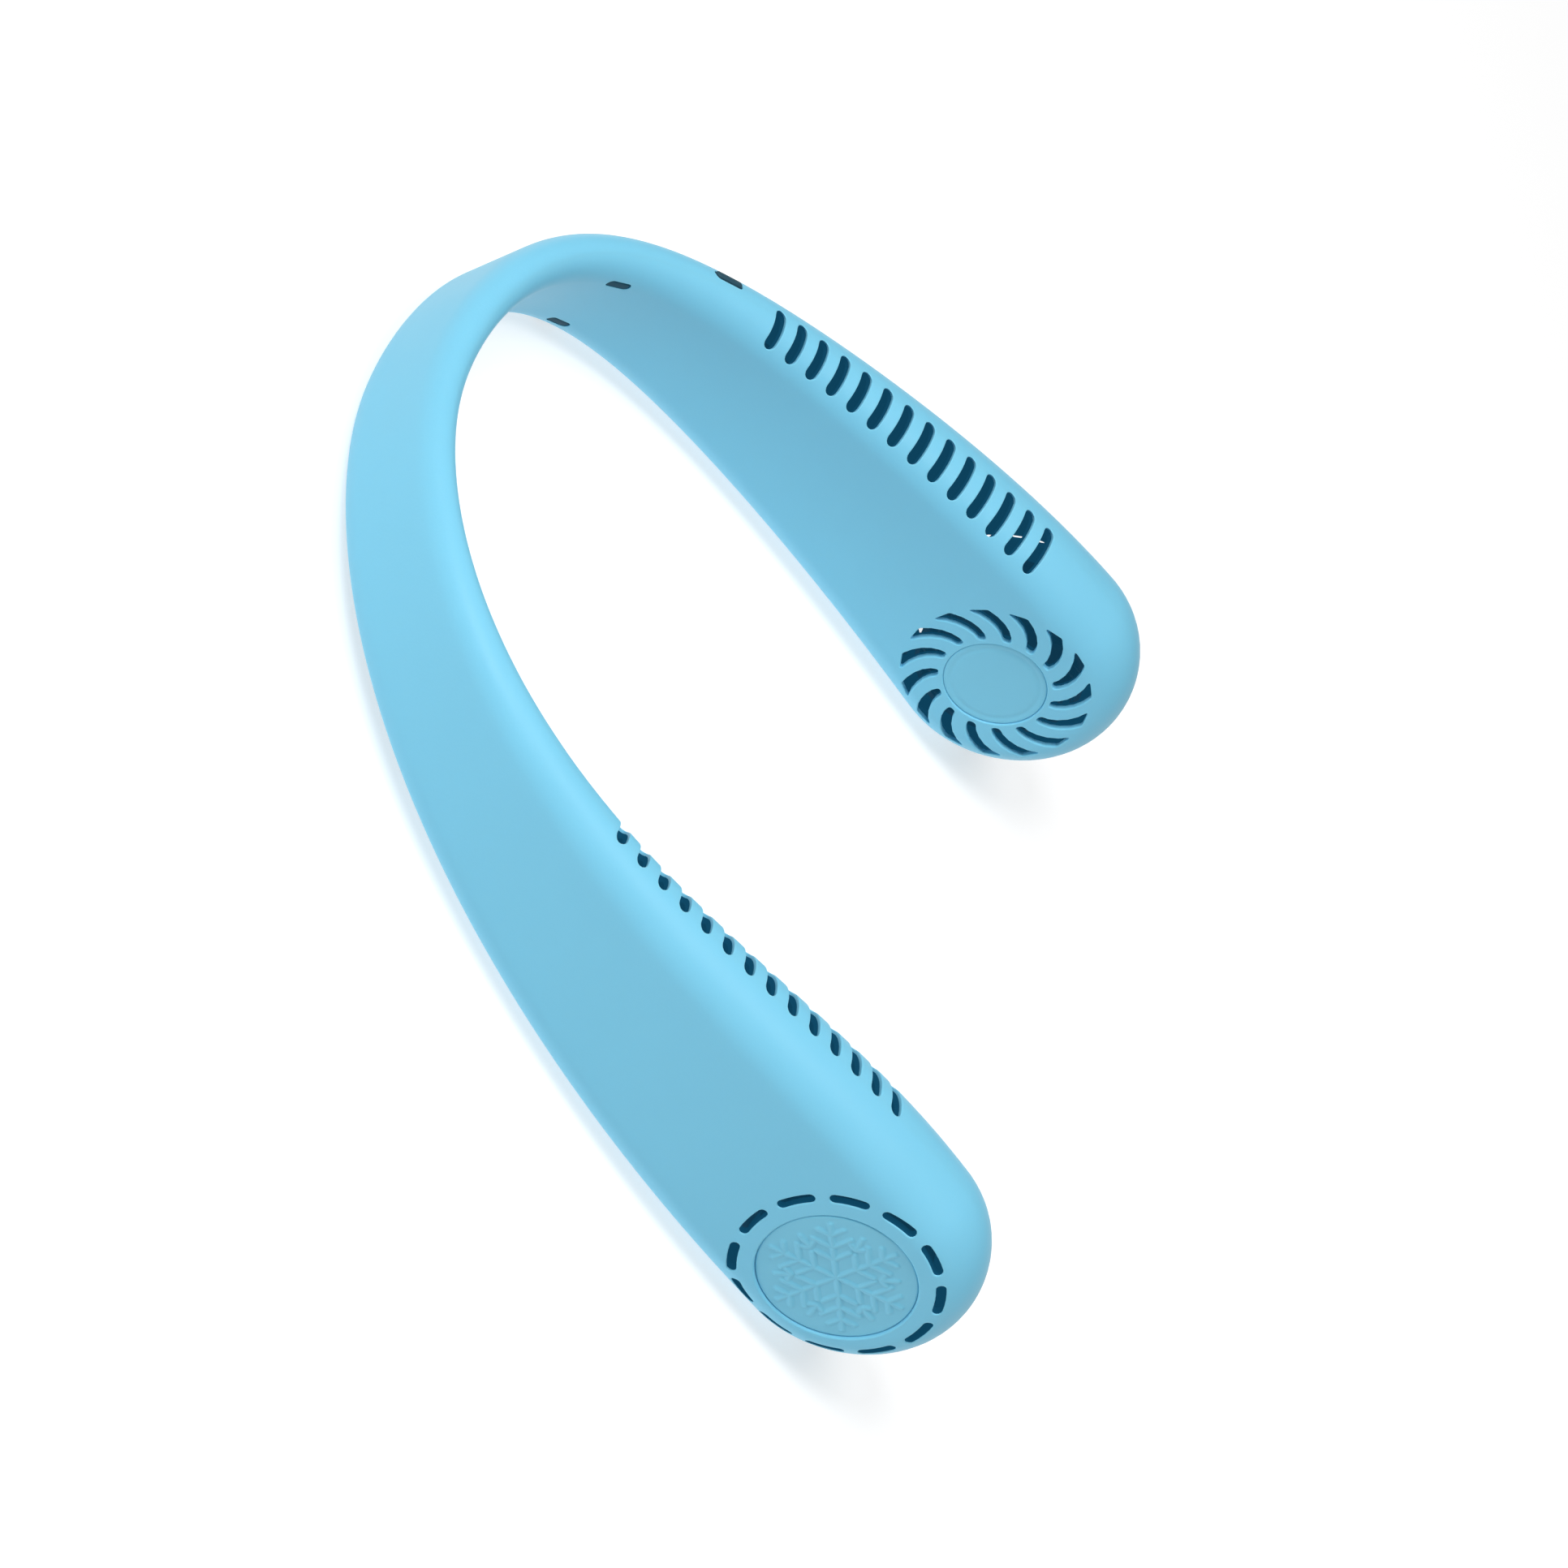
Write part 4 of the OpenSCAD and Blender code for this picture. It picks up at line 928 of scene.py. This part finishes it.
# Stage, light and camera
def area_light(name, place_at, aim, size, watts):
    """A round white light that looks from one point at another."""
    data = bpy.data.lights.new(name, "AREA")
    data.shape, data.size, data.energy = "DISK", size, watts
    obj = bpy.data.objects.new(name, data)
    obj.location = place_at
    obj.rotation_mode = "QUATERNION"
    obj.rotation_quaternion = (Vector(aim) - Vector(place_at)).to_track_quat("-Z", "Y")
    bpy.context.scene.collection.objects.link(obj)


# The floor's half span and its drop under the band, in metres, then how light and how rough
# the floor is, and how much it and the world shine of themselves
FLOOR_SPAN, FLOOR_DROP = 8.0, 0.0002
FLOOR_TONE, FLOOR_ROUGH, FLOOR_GLOW, WORLD_GLOW = 0.5, 0.9, 0.62, 0.04
WHITE = (1, 1, 1, 1)
bm = bmesh.new()
bmesh.ops.create_grid(bm, x_segments=2, y_segments=2, size=FLOOR_SPAN)
floor = mesh_object("floor", bm)
floor.location = (0, 0, -FLOOR_DROP)
paper = bpy.data.materials.new("paper")
paper.use_nodes = True
shader = paper.node_tree.nodes["Principled BSDF"]
shader.inputs["Base Color"].default_value = (FLOOR_TONE, FLOOR_TONE, FLOOR_TONE, 1)
shader.inputs["Roughness"].default_value = FLOOR_ROUGH
shader.inputs["Emission Color"].default_value = WHITE
shader.inputs["Emission Strength"].default_value = FLOOR_GLOW
floor.data.materials.append(paper)

world = bpy.data.worlds.new("studio")
world.use_nodes = True
sky = world.node_tree.nodes["Background"]
sky.inputs["Color"].default_value = WHITE
sky.inputs["Strength"].default_value = WORLD_GLOW
bpy.context.scene.world = world

# Each light: where it is, what it looks at, its width in metres and its power in watts
LIGHTS = {
    "key": ((-0.35, 1.1, 1.5), (0, 0, 0.02), 1.0, 22.5),
    "top": ((-0.22, 0.0, 1.7), (0, 0, 0), 1.0, 14.0),
    "rim": ((0.9, 1.3, 1.2), (0, 0, 0.02), 1.0, 3),
    "fill": ((-0.5, -0.35, 0.4), (-0.09, -0.07, 0.03), 0.3, 0.28),
}
for name, light in LIGHTS.items():
    area_light(name, *light)

camera_data = bpy.data.cameras.new("camera")
camera = bpy.data.objects.new("camera", camera_data)
bpy.context.scene.collection.objects.link(camera)
bpy.context.scene.camera = camera
# The photograph's view, found by fitting the band's outline to it: the lens and the sensor in
# millimetres, the camera's place in metres and its turn in degrees
LENS, SENSOR = 223.338, 36
EYE = (-1.491852, 0.923581, 1.039795)
TURN = (33.0737, -53.4353, -71.4889)
NEAREST, FARTHEST = 0.05, 50
camera_data.sensor_width, camera_data.lens = SENSOR, LENS
camera_data.clip_start, camera_data.clip_end = NEAREST, FARTHEST
camera.location = EYE
camera.rotation_euler = [math.radians(a) for a in TURN]

settings = bpy.context.scene.view_settings
settings.view_transform = "Standard"
settings.look = "None"
settings.exposure = 0
settings.gamma = 1

SKIN_BM.free()
bpy.context.view_layer.update()
